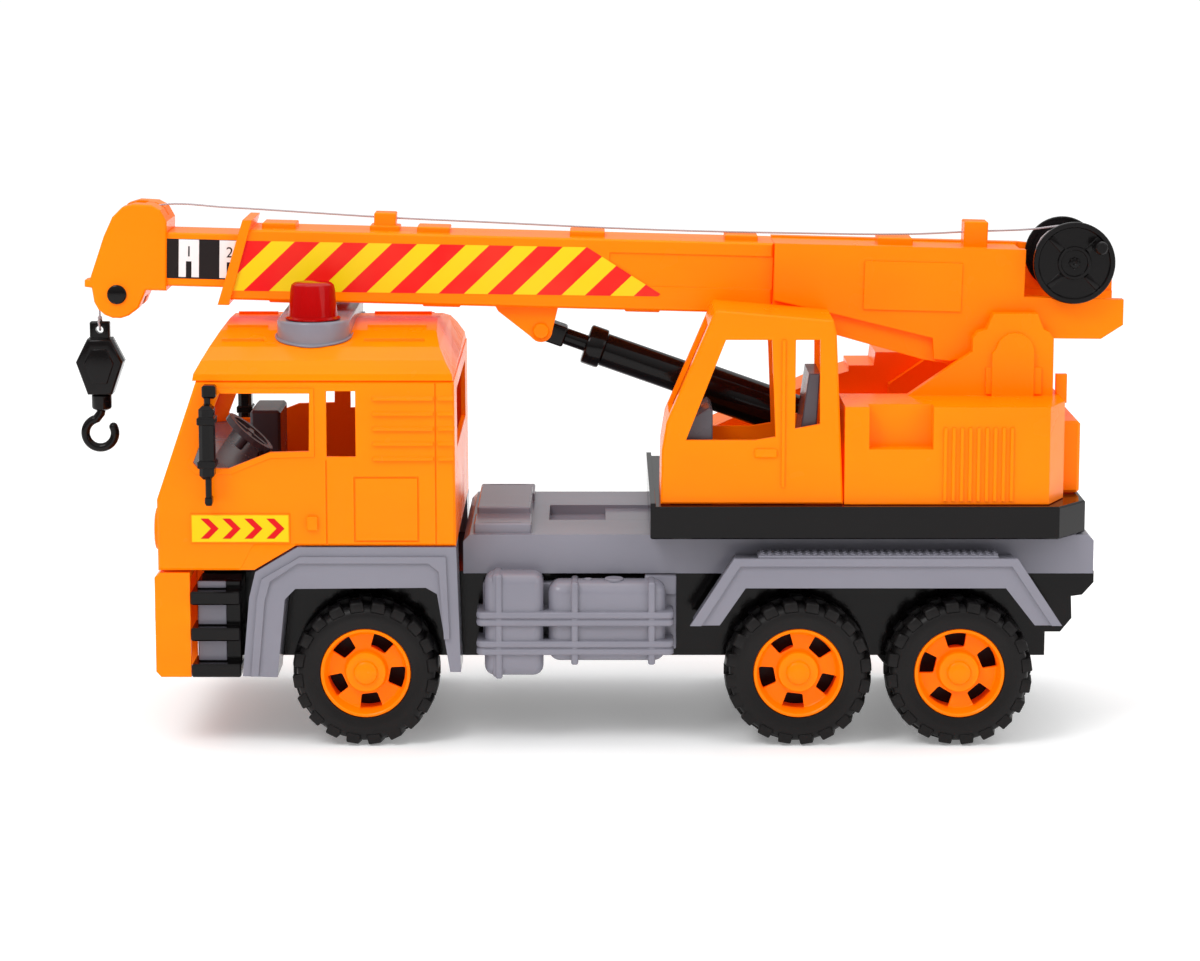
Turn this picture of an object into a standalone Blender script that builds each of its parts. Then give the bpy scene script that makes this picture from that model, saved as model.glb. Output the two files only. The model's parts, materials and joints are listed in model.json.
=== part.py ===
"""Toy mobile crane: a three-axle truck with a slewing, raising and telescoping crane."""

import math

import bmesh
import bpy
from mathutils import Matrix, Vector

MM = 0.001
GAP = 0.3
WELD = 0.0005
FLAT = math.radians(0.05)
SHARP = math.radians(32)

# Driving dimensions, in millimetres. The truck faces -X and the ground is z = 0.
AXLES = {"front": -123.5, "mid": 108.3, "rear": 194.4}
WHEEL_R = 39.7
AXLE_Z = 39.7
AXLE_R = 3.0
AXLE_HOLE_R = 3.4
TYRE_Y = (61.3, 88.0)
RIM_R = 24.3
TYRE_HOLLOW_R = 33.5
CHASSIS_Y = 60.0
CHASSIS_TOP = 90.4
CAB_Y = 93.0
CAB_WALL = 2.6
DECK_Y = 70.0
DECK_TOP = 112.2
EAVES_Z = 201.0
BEACON_Z = 227.1
TRAY_Z = (112.8, 130.3)
SLEW_X = 151.0
BODY_Z = 130.7
BODY_TOP = 183.0
PIVOT = (226.4, 207.0)
BOOM_TILT = math.radians(1.5)
BOOM_Y = 22.0
BOOM_Z = (222.3, 260.7)
INNER_Y = 18.0
INNER_Z = (228.5, 257.7)
SHEAVE = (-261.8, 223.3)
SHEAVE_ROPE_R = 12.4
DRUM = (256.8, 255.6)
CRANK = (268.9, 265.4)
ROPE_R = 0.5
LUG = (-30.3, 215.5)
FOOT = (175.0, 143.0)
HOOK_X = -273.6

ORANGE = ((1.0, 0.29, 0.005), 0.32, 0.0)
GREY = ((0.26, 0.26, 0.30), 0.38, 0.0)
BLACK = ((0.012, 0.010, 0.011), 0.25, 0.0)
TYRE = ((0.018, 0.018, 0.017), 0.7, 0.0)
RED = ((0.72, 0.003, 0.003), 0.12, 0.0)
ROPE = ((0.80, 0.79, 0.75), 0.8, 0.0)
STEEL = ((0.60, 0.60, 0.62), 0.3, 1.0)

for leftover in list(bpy.data.objects):
    bpy.data.objects.remove(leftover, do_unlink=True)

TRUCK = bpy.data.collections.new("toy_mobile_crane")
HELPERS = bpy.data.collections.new("helpers")
bpy.context.scene.collection.children.link(TRUCK)
bpy.context.scene.collection.children.link(HELPERS)
HELPERS.hide_render = True


def material(name, look):
    colour, roughness, metallic = look
    made = bpy.data.materials.new(name)
    made.use_nodes = True
    shader = made.node_tree.nodes["Principled BSDF"]
    shader.inputs["Base Color"].default_value = (*colour, 1.0)
    shader.inputs["Roughness"].default_value = roughness
    shader.inputs["Metallic"].default_value = metallic
    return made


def box(x0, x1, y0, y1, z0, z1, bevel=0.0):
    """A box, its edges bevelled when asked."""
    bm = bmesh.new()
    bmesh.ops.create_cube(bm, size=1.0)
    for v in bm.verts:
        v.co.x = x0 if v.co.x < 0 else x1
        v.co.y = y0 if v.co.y < 0 else y1
        v.co.z = z0 if v.co.z < 0 else z1
    if bevel:
        bmesh.ops.bevel(bm, geom=bm.edges[:], offset=bevel, segments=1, affect="EDGES")
    return bm


def face_out(bm):
    bm.normal_update()
    bmesh.ops.recalc_face_normals(bm, faces=bm.faces[:])


def shade_round(bm):
    """Shades a round shape smooth and keeps its corners sharp."""
    for face in bm.faces:
        face.smooth = True
    for edge in bm.edges:
        edge.smooth = edge.calc_face_angle(0.0) < SHARP


def shape_of(obj):
    """The finished mesh of a curve or of an object with modifiers, as one closed shape."""
    HELPERS.objects.link(obj)
    graph = bpy.context.evaluated_depsgraph_get()
    mesh = bpy.data.meshes.new_from_object(obj.evaluated_get(graph))
    bm = bmesh.new()
    bm.from_mesh(mesh)
    bmesh.ops.remove_doubles(bm, verts=bm.verts[:], dist=WELD)
    bmesh.ops.dissolve_limit(bm, angle_limit=FLAT, verts=bm.verts[:], edges=bm.edges[:])
    face_out(bm)
    bpy.data.objects.remove(obj, do_unlink=True)
    bpy.data.meshes.remove(mesh)
    return bm


def curve_of(points, closed, dimensions):
    """A curve object with one straight-sided spline through the points."""
    data = bpy.data.curves.new("outline", "CURVE")
    data.dimensions = dimensions
    spline = data.splines.new("POLY")
    spline.points.add(len(points) - 1)
    for point, co in zip(spline.points, points):
        point.co = (*co, 1.0)
    spline.use_cyclic_u = closed
    return bpy.data.objects.new("outline", data)


def prism(points, lo, hi, axis="Y", bevel=0.0):
    """A closed outline pushed from lo to hi. The outline is (x, z) for Y, (x, y) for Z and (y, z) for X."""
    outline = curve_of([(u, v, 0) for u, v in points], True, "2D")
    outline.data.fill_mode = "BOTH"
    outline.data.extrude = (hi - lo) / 2
    bm = shape_of(outline)
    middle = (lo + hi) / 2
    for v in bm.verts:
        v.co = place((0, 0), axis, v.co.x, v.co.y, v.co.z + middle)
    face_out(bm)
    if bevel:
        depth = {"X": 0, "Y": 1, "Z": 2}[axis]
        rims = [e for e in bm.edges if abs(e.verts[0].co[depth] - e.verts[1].co[depth]) < WELD]
        bmesh.ops.bevel(bm, geom=rims, offset=bevel, segments=1, affect="EDGES")
    return bm


def turned(profile, centre, axis="Y", steps=24):
    """A profile of (radius, height along the axis) turned round an axis. Radius 0 closes an end."""
    mesh = bpy.data.meshes.new("profile")
    edges = [(i, i + 1) for i in range(len(profile) - 1)]
    if profile[0][0] > 0:
        edges.append((len(profile) - 1, 0))
    mesh.from_pydata([(radius, 0, height) for radius, height in profile], edges, [])
    obj = bpy.data.objects.new("profile", mesh)
    screw = obj.modifiers.new("turn", "SCREW")
    screw.steps = steps
    screw.render_steps = steps
    screw.use_merge_vertices = True
    screw.merge_threshold = 0.0001
    bm = shape_of(obj)
    bpy.data.meshes.remove(mesh)
    for v in bm.verts:
        v.co = place(centre, axis, *v.co)
    face_out(bm)
    shade_round(bm)
    return bm


def place(centre, axis, u, v, height):
    if axis == "Y":
        return Vector((centre[0] + u, height, centre[1] + v))
    if axis == "Z":
        return Vector((centre[0] + u, centre[1] + v, height))
    return Vector((height, centre[0] + u, centre[1] + v))


def rod(radius, lo, hi, centre, axis="Y", steps=20):
    return turned([(0, lo), (radius, lo), (radius, hi), (0, hi)], centre, axis, steps)


def swept(points, radius, sides=8):
    """A round bar along a path of (x, z) points in the middle plane."""
    wire = curve_of([(x, 0, z) for x, z in points], False, "3D")
    wire.data.bevel_depth = radius
    wire.data.bevel_resolution = sides // 2 - 2
    wire.data.use_fill_caps = True
    bar = shape_of(wire)
    shade_round(bar)
    return bar


def mirrored(shape):
    """The same shape on the other side of the truck."""
    twin = shape.copy()
    bmesh.ops.scale(twin, vec=(1, -1, 1), verts=twin.verts[:])
    bmesh.ops.reverse_faces(twin, faces=twin.faces[:])
    return twin


def both(*shapes):
    return [s for shape in shapes for s in (shape, mirrored(shape))]


def mesh_of(name, shapes, transform):
    whole = bpy.data.meshes.new(name)
    bm = bmesh.new()
    for shape in shapes:
        piece = bpy.data.meshes.new("piece")
        shape.to_mesh(piece)
        bm.from_mesh(piece)
        bpy.data.meshes.remove(piece)
    for v in bm.verts:
        v.co = transform @ v.co
    bm.to_mesh(whole)
    bm.free()
    return whole


def helper(name, shapes, transform):
    made = bpy.data.objects.new(name, mesh_of(name, shapes, transform))
    made.hide_render = True
    made.display_type = "WIRE"
    HELPERS.objects.link(made)
    return made


def joined(obj, name, shapes, transform, operation):
    """Adds or cuts a group of shapes with one exact Boolean."""
    modifier = obj.modifiers.new(name, "BOOLEAN")
    modifier.object = helper(f"{obj.name}_{name}", shapes, transform)
    modifier.operation = operation
    modifier.solver = "EXACT"
    modifier.use_self = True


def solid(name, look, adds, cuts=(), late=(), tilt=0.0, origin=(0, 0, 0)):
    """One piece: the first shape, the rest added, the cuts taken out, then the late shapes added."""
    turn = Matrix.Rotation(tilt, 4, "Y")
    pivot = Vector((PIVOT[0], 0, PIVOT[1]))
    whole = Matrix.Translation(pivot) @ turn @ Matrix.Translation(-pivot)
    shift = Matrix.Translation(-Vector(origin))
    transform = Matrix.Scale(MM, 4) @ shift @ whole
    obj = bpy.data.objects.new(name, mesh_of(name, adds[:1], transform))
    obj.location = Vector(origin) * MM
    steps = (("add", adds[1:], "UNION"), ("cut", cuts, "DIFFERENCE"), ("late", late, "UNION"))
    for other, group, operation in steps:
        if group:
            joined(obj, other, group, transform, operation)
            obj.modifiers[-1].object.location = Vector(origin) * MM
    obj.data.materials.append(material(name, look))
    TRUCK.objects.link(obj)
    return obj


def cells(x0, x1, nx, y0, y1, ny, z0, z1, wall, keep=None):
    """Cutters that leave a ribbed underside, with the cells over the kept square left solid."""
    made = []
    dx = (x1 - x0 - wall) / nx
    dy = (y1 - y0 - wall) / ny
    for i in range(nx):
        for j in range(ny):
            cx0 = x0 + wall + i * dx
            cy0 = y0 + wall + j * dy
            cx1 = cx0 + dx - wall
            cy1 = cy0 + dy - wall
            if keep and cx0 < keep[1] and cx1 > keep[0] and cy0 < keep[3] and cy1 > keep[2]:
                continue
            made.append(box(cx0, cx1, cy0, cy1, z0 - 1, z1))
    return made


def on_tilt(x, z):
    """World (x, z) of a point given on the level boom."""
    dx = x - PIVOT[0]
    dz = z - PIVOT[1]
    c = math.cos(BOOM_TILT)
    s = math.sin(BOOM_TILT)
    return PIVOT[0] + dx * c + dz * s, PIVOT[1] - dx * s + dz * c


def arc(centre, radius, a0, a1, steps):
    found = []
    for i in range(steps + 1):
        a = math.radians(a0 + (a1 - a0) * i / steps)
        found.append((centre[0] + radius * math.cos(a), centre[1] + radius * math.sin(a)))
    return found


# ---------------------------------------------------------------- wheels


def tyre(name, x, side):
    """A hollow tyre with a closed inner wall, its tread points pushed out into two rows of lugs."""
    lugs = 14
    steps = 3 * lugs
    tread_r = 38.8
    valley_r = 37.2
    lug_r = WHEEL_R / math.cos(math.pi / steps)
    inner, outer = TYRE_Y
    middle = (inner + outer) / 2
    bore = RIM_R + GAP
    web = inner + 2.2
    profile = [(AXLE_HOLE_R, inner), (36.2, inner + 0.6), (tread_r, inner + 2.5), (tread_r, middle - 0.8)]
    profile += [(tread_r, middle + 0.8), (tread_r, outer - 2.5), (36.2, outer - 0.6), (bore, outer)]
    profile += [(bore, outer - 3.2), (TYRE_HOLLOW_R, outer - 4), (TYRE_HOLLOW_R, inner + 4)]
    profile += [(bore, inner + 3.2), (bore, web), (AXLE_HOLE_R, web)]
    band = turned(profile, (0, 0), "Y", steps)
    for v in band.verts:
        spoke = math.hypot(v.co.x, v.co.z)
        count = round(math.atan2(v.co.z, v.co.x) * steps / (2 * math.pi))
        if spoke > tread_r - 0.5:
            row = 1 if v.co.y < middle else 2
            reach = valley_r if (count + row) % 3 == 0 else lug_r
            v.co.x *= reach / spoke
            v.co.z *= reach / spoke
    half_step = Matrix.Rotation(math.pi / 2 + math.pi / steps, 3, "Y")
    bmesh.ops.rotate(band, cent=(0, 0, 0), matrix=half_step, verts=band.verts[:])
    bmesh.ops.translate(band, vec=(x, 0, AXLE_Z), verts=band.verts[:])
    solid(name, TYRE, [mirrored(band) if side < 0 else band], origin=(x, 0, AXLE_Z))


def rim(name, x, side, offset):
    profile = [(0, 64), (11, 64), (11, 72), (21.4, 72), (21.4, 64), (RIM_R, 64), (RIM_R, 86.5)]
    profile += [(21.8, 86.5), (20.6, 79), (11, 79), (10.6, 84.5), (6, 84.5), (5.6, 87), (0, 87)]
    body = turned([(r, side * h) for r, h in profile], (x, AXLE_Z), "Y", 20)
    holes = [rod(3.3, min(side * 60, side * 82), max(side * 60, side * 82), (x, AXLE_Z), steps=12)]
    for k in range(5):
        a = math.radians(offset + 72 * k)
        c, s = math.cos(a), math.sin(a)
        corners = []
        for r, w in ((12.6, -3.6), (19.6, -5.2), (19.6, 5.2), (12.6, 3.6)):
            corners.append((x + r * c - w * s, AXLE_Z + r * s + w * c))
        holes.append(prism(corners, min(side * 60, side * 90), max(side * 60, side * 90)))
    solid(name, ORANGE, [body], holes, origin=(x, 0, AXLE_Z))


for where, axle_x in AXLES.items():
    axle = rod(AXLE_R, -81.5, 81.5, (axle_x, AXLE_Z), steps=16)
    solid(f"{where}_axle", STEEL, [axle], origin=(axle_x, 0, AXLE_Z))
    turn = {"front": -11, "mid": -25, "rear": 23}[where]
    for hand, sign in (("left", -1), ("right", 1)):
        tyre(f"{where}_tyre_{hand}", axle_x, sign)
        rim(f"{where}_rim_{hand}", axle_x, sign, turn)

# ---------------------------------------------------------------- truck

side_view = [(-212, 54), (-212, CHASSIS_TOP), (268.8, CHASSIS_TOP), (268.8, 84.3), (262.7, 77.4)]
side_view += [(256.8, 76.6), (257.3, 64.5), (251.2, 57), (243, 57), (242.9, 44), (-205, 44)]
chassis_adds = [prism(side_view, -CHASSIS_Y, CHASSIS_Y)]
chassis_cuts = cells(-212, 242, 8, -CHASSIS_Y, CHASSIS_Y, 2, 44, 88, 2.4)
chassis_cuts += both(box(245, 254.4, -57.6, -1.2, 40, 88))
for axle_x in AXLES.values():
    chassis_adds += both(box(axle_x - 9, axle_x + 9, 46, 59.6, 31, 60))
    chassis_cuts.append(rod(AXLE_HOLE_R, -62, 62, (axle_x, AXLE_Z), steps=16))
    chassis_cuts.append(box(axle_x - 9.5, axle_x + 9.5, -45, 45, 30, 50))
solid("chassis_frame", BLACK, chassis_adds, chassis_cuts)

deck_side = [(-71.5, 91), (-71.5, 108.5), (-68, DECK_TOP), (264, DECK_TOP), (267, 109), (267, 91)]
deck_adds = [prism(deck_side, -DECK_Y, DECK_Y), box(-65, -36, -35, 35, 110, 121.3, 0.8)]
deck_adds += both(box(-66, -35, -66, -34, 110, 117.5, 0.8))
deck_cuts = cells(-71.5, 267, 6, -DECK_Y, DECK_Y, 3, 91, 109.4, 2.4, (131, 171, -20, 20))
deck_cuts += [box(-26, 5, -24, 24, 106.8, 115), box(4, 46, -24, 24, 110.2, 115)]
deck_cuts += [rod(18.3, 94, 116, (SLEW_X, 0), "Z", 24)] + both(box(-61, -40, -63, -61.8, 116.6, 119))
deck_late = [box(-28, 7, -26, 26, 104.6, 106.8), box(-28, -26, -26, 26, 105, 110)]
deck_late += [box(5, 7, -26, 26, 105, 110)]
deck_late += both(box(-28, 7, -26, -24, 105, 110))
solid("chassis_deck", GREY, deck_adds, deck_cuts, deck_late)

pivot_profile = [(0, 95), (18, 95), (18, 112.4), (8, 112.4), (8, 126), (0, 126)]
solid("slew_pivot", BLACK, [turned(pivot_profile, (SLEW_X, 0), "Z", 24)], origin=(SLEW_X, 0, 112.4))


def side_pieces(hand, sign):
    """The outer pieces of one side of the truck, written for the left and mirrored for the right."""
    def flip(shapes):
        return [mirrored(s) for s in shapes] if sign > 0 else shapes

    tank = [box(-59.7, -28.2, -90, -71, 38.6, 94, 1.5), box(-25.7, 37.1, -89, -71, 46.2, 89.4, 1.5)]
    tank += [box(-61, 43, -74, -60.4, 50, 86), box(-64, 41.4, -92, -72, 66, 73.9, 0.8)]
    tank += [box(-64, 41.4, -92, -72, 50.5, 58.2, 0.8)]
    for x in (-52, -11.5, 29.5):
        tank.append(box(x - 2.4, x + 2.4, -92.6, -72, 47.5, 88.5, 0.5))
    tank += [rod(5, 86, 90.6, (9.5, -80), "Z", 16), box(26, 43, -74, -60.4, 80, 90.4)]
    pockets = [box(x0, x1, -87, -60, 52.8, 83.4) for x0, x1 in ((-57, -31), (-22.6, 5), (8, 34.6))]
    solid(f"side_tank_{hand}", GREY, flip(tank), flip(pockets))

    arch = [(51.9, 66.8), (74.3, 101.7), (222.8, 101.7), (246, 66.9), (233.6, 66.9), (217.9, 87)]
    arch += [(79.5, 87), (65.8, 66.9)]
    lip = [(49.9, 66.8), (73.2, 103.2), (223.9, 103.2), (248, 66.9), (242.5, 66.9), (220.9, 99)]
    lip += [(76.5, 99), (56, 66.8)]
    tread = box(86, 214, -90.6, -73, 101, 104.4, 0.6)
    pockets = [box(x, x + 41, -88.6, -70, 89.4, 99.4) for x in (84, 128, 172)]
    wing = [prism(arch, -91.5, -70.4), prism(lip, -93, -90), tread]
    solid(f"rear_fender_{hand}", GREY, flip(wing), flip(pockets))

    outer = [(-188.5, 39.7), (-184.4, 82.5), (-181, 96.2), (-158.5, 109.6), (-74.3, 109.6), (-72.1, 42)]
    outer += [(-77.9, 42)]
    inner = [(-84.6, 84.3), (-90.5, 87.7), (-159.9, 87.1), (-165.5, 81.4), (-170, 39.1)]
    fender = [prism(outer + inner, -93.6, -62.5)]
    rib_out = [(-184, 39.7), (-180.2, 82), (-177.6, 92.6), (-157, 104.6), (-79.8, 104.6), (-78, 60)]
    rib_in = [(-81, 60), (-83.6, 96.5), (-89, 101), (-158.2, 101), (-173, 91.4), (-176, 81), (-180, 39.7)]
    fender.append(prism(rib_out + rib_in, -95, -91))
    front_pocket = [(-184.6, 43), (-181.2, 80), (-178.6, 93), (-172.4, 97.6), (-168.8, 84.6), (-173, 43)]
    top_pocket = [(-169.6, 99.8), (-157.6, 106.6), (-80, 106.6), (-80, 92), (-89, 90.9), (-161.4, 90.3)]
    pockets = [prism(front_pocket, -90.4, -62), prism(top_pocket, -90.4, -62)]
    rib = box(-126, -123.6, -91, -62.6, 89, 107.5)
    solid(f"cab_fender_{hand}", GREY, flip(fender), flip(pockets), flip([rib]))

    steps = [box(-213, -189.5, -84, -62, 39.1, 90, 0.8)]
    for z0, z1 in ((78.3, 85.6), (58.7, 65.8), (39.1, 46.2)):
        steps.append(box(-215.7, -189.3, -94, -70, z0, z1, 0.8))
    solid(f"cab_steps_{hand}", BLACK, flip(steps))

    mirror = [box(-208.2, -200.4, -108, -95.6, 148, 187, 2.0), rod(1.7, 133, 196, (-204.3, -99), "Z", 12)]
    mirror += [box(-207, -199.6, -101, -93.8, 190, 197, 1.0)]
    mirror += [box(-206.3, -202.3, -101, -94.2, 133.6, 137.6, 0.6)]
    mirror += [box(-209, -199.6, -108.8, -95, z, z + 4, 0.5) for z in (154, 177)]
    solid(f"mirror_{hand}", BLACK, flip(mirror))

    lens = [(0, BEACON_Z), (13.2, BEACON_Z), (12.6, 232), (11.6, 244.5), (9.6, 247), (0, 247)]
    solid(f"beacon_{hand}", RED, flip([turned(lens, (-151.5, -57), "Z", 20)]))


side_pieces("left", -1)
side_pieces("right", 1)

# Cab: one hollow shell, open below, with a crowned roof above it.
profile = [(-232.6, 97), (-232.6, 135), (-210.9, 198.2), (-74.9, 198.2), (-74.4, 110.2), (-181, 110.2)]
profile += [(-188, 97)]
hollow = [(-230, 80), (-230, 134.5), (-208.8, 200), (-77.4, 200), (-77, 80)]
window = [(-213, 154.8), (-210.4, 151.8), (-194.1, 151.8), (-172.3, 160.4), (-151.7, 160.9)]
window += [(-151.2, 191.8), (-198.6, 191.8)]
cab_cuts = [prism(hollow, -CAB_Y + CAB_WALL, CAB_Y - CAB_WALL), prism(window, -100, 100)]
cab_cuts.append(box(-142.4, -127, -100, 100, 158, 193))
cab_cuts.append(prism([(-240, 146), (-200, 146), (-200, 190), (-240, 190)], -80, 80))
cab_cuts.append(box(-90, -70, -60, 60, 158, 190))
for z in (112.7, 146.9):
    cab_cuts += both(box(-128.2, -93.8, -94, -92.4, z - 0.4, z + 0.4))
for x, z0 in ((-127.8, 112.3), (-94.2, 112.3)):
    cab_cuts += both(box(x - 0.4, x + 0.4, -94, -92.4, z0, 147.3))
for x in (-142.7, -84.8):
    cab_cuts += both(box(x - 0.3, x + 0.3, -94, -92.4, 108, 156 if x < -100 else 199))
cab_late = both(box(-153.2, -147.4, -95.6, -91.5, 118.8, 126.3, 0.6))
for k in range(5):
    z = 158 + 8 * k
    rib_side = [(-94.4, z - 2), (-94.4, z - 1.2), (-91, z + 2.4), (-91, z - 2)]
    cab_late += both(prism(rib_side, -118, -86, "X"), prism(rib_side, -83.6, -75.2, "X"))
cab_late += both(box(-214.9, -162.2, -93.7, -91.5, 111.8, 127.6))
for z in (102, 109, 116, 123, 130):
    cab_late.append(box(-234.2, -231.5, -50, 50, z - 2, z + 2))
cab_late += both(turned([(0, -235.4), (11, -235.4), (12.5, -231.5), (0, -231.5)], (-72, 116), "X", 20))
surround = [(-216.2, 153.6), (-212, 148.8), (-193.4, 148.8), (-171.8, 157.4), (-148.8, 157.9)]
surround += [(-148.8, 194.6), (-200.4, 194.6)]
cab_adds = [prism(profile, -CAB_Y, CAB_Y, bevel=1.2)] + both(prism(surround, -93.5, -92))
solid("cab_shell", ORANGE, cab_adds, cab_cuts, cab_late)


def roof_form(points, x0, x1):
    """A crowned cross-section whose two ends lean in above the eaves."""
    form = prism(points, x0, x1, "X")
    middle = (x0 + x1) / 2
    for v in form.verts:
        rise = max(0.0, v.co.z - EAVES_Z)
        v.co.x += 0.55 * rise if v.co.x < middle else -0.6 * rise
    return form


def crown_line(drop, edge):
    """One cross-section of the roof, from side to side, lowered by the drop and narrowed by the edge."""
    half = [(CAB_Y, 198.5), (CAB_Y - 0.6, 202), (86, 208.5), (72, 214), (40, 219)]
    half = [(y - edge, z - drop) for y, z in half]
    return [(-y, z) for y, z in half] + [(0, 221 - drop)] + half[::-1]


roof_cuts = [roof_form(crown_line(2.6, 3.0), -209.8, -78.4)]
roof_late = []
for x0, x1 in ((-200, -178), (-124, -92)):
    roof_late += both(box(x0, x1, -62, -60, 213, 217), box(x0, x1, -32, -30, 218, 220.9))
solid("cab_roof", ORANGE, [roof_form(crown_line(0, 0), -212.7, -75.5)], roof_cuts, roof_late)

bar = [(-171, -60), (-165, -69), (-151.5, -73), (-138, -69), (-132, -60)]
bar += [(x, -y) for x, y in bar[::-1]]
on_roof = roof_form(crown_line(-GAP, -GAP), -230, -60)
solid("light_bar_base", GREY, [prism(bar, 212, BEACON_Z - GAP, "Z", bevel=0.8)], [on_roof])

bumper = [(-234.7, 42), (-232, 39), (-216, 39), (-216, 95.6), (-232, 95.6), (-234.7, 93)]
lamp = [(0, -236.6), (7, -236.6), (8.5, -233), (0, -233)]
bumper_late = [turned(lamp, (y, 68), "X", 16) for y in (-66, -46, 46, 66)]
bumper_late += [box(-236.2, -233, -30, 30, z, z + 4) for z in (56, 64, 72)]
bumper_cuts = [box(-229, -212, -58, 58, 36, 92)] + both(box(-230, -210, -89.5, -61, 36, 92))
solid("front_bumper", ORANGE, [prism(bumper, -92.4, 92.4)], bumper_cuts, bumper_late)

inside_adds = [box(-213, -80, -61, 61, 90.8, 93.6)]
inside_adds.append(box(-213, -190, -61, 61, 93, 132))
hood = [(-218, 130), (-226, 140), (-222, 150), (-206, 152), (-188, 145), (-190, 130)]
inside_adds.append(prism(hood, -86, 86))
for y0, y1 in ((-74, -12), (12, 74)):
    inside_adds.append(box(-158, -108, max(y0, -61), min(y1, 61), 93, 112))
    inside_adds.append(box(-158, -108, y0, y1, 111, 130, 1.5))
    inside_adds.append(prism([(-122, 128), (-112, 184), (-104, 184), (-108, 128)], y0, y1))
inside_adds.append(box(-194, -177, 22, 66, 120, 166, 1.5))
hood_hollow = [(-216, 120), (-216, 146.6), (-206, 149.2), (-193.4, 144), (-193.4, 120)]
inside_cuts = [prism(hood_hollow, -83.4, 83.4), box(-214, -192.6, -58.4, 58.4, 98, 130)]
for y0, y1 in ((-58, -15), (15, 58)):
    inside_cuts.append(box(-155.4, -110.6, y0, y1, 90, 127.4))
solid("cab_interior", GREY, inside_adds, inside_cuts)

wheel = [turned([(11.5, -1.6), (15, -1.6), (15, 1.6), (11.5, 1.6)], (0, 0), "Z", 20)]
wheel += [box(-12.5, 12.5, -1.5, 1.5, -1.2, 1.2)]
wheel += [box(-1.5, 1.5, -12.5, 12.5, -1.1, 1.1), rod(2.5, -10, 1.5, (0, 0), "Z", 12)]
wheel_lean = Matrix.Rotation(math.radians(40), 3, "Y")
for shape in wheel:
    bmesh.ops.rotate(shape, cent=(0, 0, 0), matrix=wheel_lean, verts=shape.verts[:])
    bmesh.ops.translate(shape, vec=(-188, -42, 163), verts=shape.verts[:])
solid("steering_wheel", GREY, wheel)

# ---------------------------------------------------------------- turntable and body

tray_outline = [(28.8, -88), (246, -88), (262.5, -66), (262.5, 66), (246, 88), (28.8, 88)]
tray_cuts = cells(28.8, 246, 4, -88, 88, 4, TRAY_Z[0], 127.8, 2.4, (131, 171, -20, 20))
for y in (-43, 0, 43):
    tray_cuts.append(box(248.6, 259.8, y - 20, y + 20, TRAY_Z[0] - 1, 127.8))
tray_cuts.append(rod(8.4, 110, 127, (SLEW_X, 0), "Z", 24))
tray_late = [box(28.8, 31.6, -88, 88, 129.5, 132.2)]
tray = prism(tray_outline, *TRAY_Z, "Z", bevel=0.8)
solid("turntable_tray", BLACK, [tray], tray_cuts, tray_late, origin=(SLEW_X, 0, TRAY_Z[0]))

near_box = [(132, -82), (241, -82), (251.3, -60), (251.3, -30), (132, -30)]
body_adds = [prism(near_box, BODY_Z, BODY_TOP, "Z")]
body_adds.append(prism([(132, -40), (251, -40), (251, 60), (132, 60)], BODY_Z, 133.4, "Z"))
hood = [(60, BODY_Z), (60, 152), (89, 165), (124, 181), (142, 186.3), (142, 189.5), (156, 189.5)]
hood += [(157, 197), (238, 197), (248, 183), (248, BODY_Z)]
body_adds.append(prism(hood, 38, 82))
body_adds.append(box(245, 251.3, -60, 60, BODY_Z, BODY_TOP))
body_adds.append(box(250, 262, -45, 45, BODY_Z, 170, 1.5))
plate = [(203.6, 132), (203.6, 214), (206.5, 217.7), (211, 219), (214.6, 227.5), (238.6, 227.5)]
plate += [(242, 219), (245, 217.7), (247.5, 214), (247.5, 132)]
gusset = [(164, BODY_Z + 1), (164, 179.7), (203.8, 207.1), (206, 207.1), (206, BODY_Z + 1)]
tab = [(214, 176), (214, 206)] + arc((226.4, 207), 10.4, 170, 10, 8) + [(236.8, 206), (236.8, 176)]
body_adds += both(prism(plate, -38, -28.4), prism(gusset, -38, -31), prism(tab, -40.5, -37))
body_adds += both(prism([(211, 184), (211, 198.6), (241, 198.6), (241, 184)], -39.4, -37))
body_adds.append(box(62, 134, 24, 40, BODY_Z, 150))
body_adds.append(box(130, 178, 30, 40, BODY_Z, 172))
body_cuts = [box(145, 179, -90, -71, 160.3, 190)]
body_cuts.append(prism([(134.6, -79.4), (238, -79.4), (245, -60), (245, -41), (134.6, -41)], 120, 158, "Z"))
body_cuts.append(prism([(134.6, -69), (238, -69), (245, -60), (245, -41), (134.6, -41)], 120, 180.4, "Z"))
hood_inside = [(63, 120), (63, 150.5), (90, 162), (125, 178), (144, 183.5), (159, 187), (160, 194.5)]
hood_inside += [(236, 194.5), (245, 182), (245, 120)]
body_cuts.append(prism(hood_inside, 41, 79.4))
body_cuts += [box(252.6, 259.6, -42.6, 42.6, 120, 167.4), box(65, 131.4, 27, 37, 120, 147.4)]
body_cuts.append(rod(4.25, -36, 36, PIVOT, steps=20))
body_cuts.append(box(FOOT[0] - 15, FOOT[0] + 16, -5.4, 5.4, 120, 136))
foot_slot = [(FOOT[0] - 9, 132), (FOOT[0] - 9, 150), (FOOT[0] + 9, 150), (FOOT[0] + 9, 132)]
body_late = both(prism(foot_slot, -16, -10.5))
for k in range(9):
    x = 185.4 + 4.425 * k
    body_late.append(box(x - 0.9, x + 0.9, -83.2, -80, 132.5, 172))
body_late.append(box(250, 256, -31, -27, 178, 193.7))
solid("superstructure_body", ORANGE, body_adds, body_cuts, body_late, origin=(SLEW_X, 0, BODY_Z))

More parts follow.
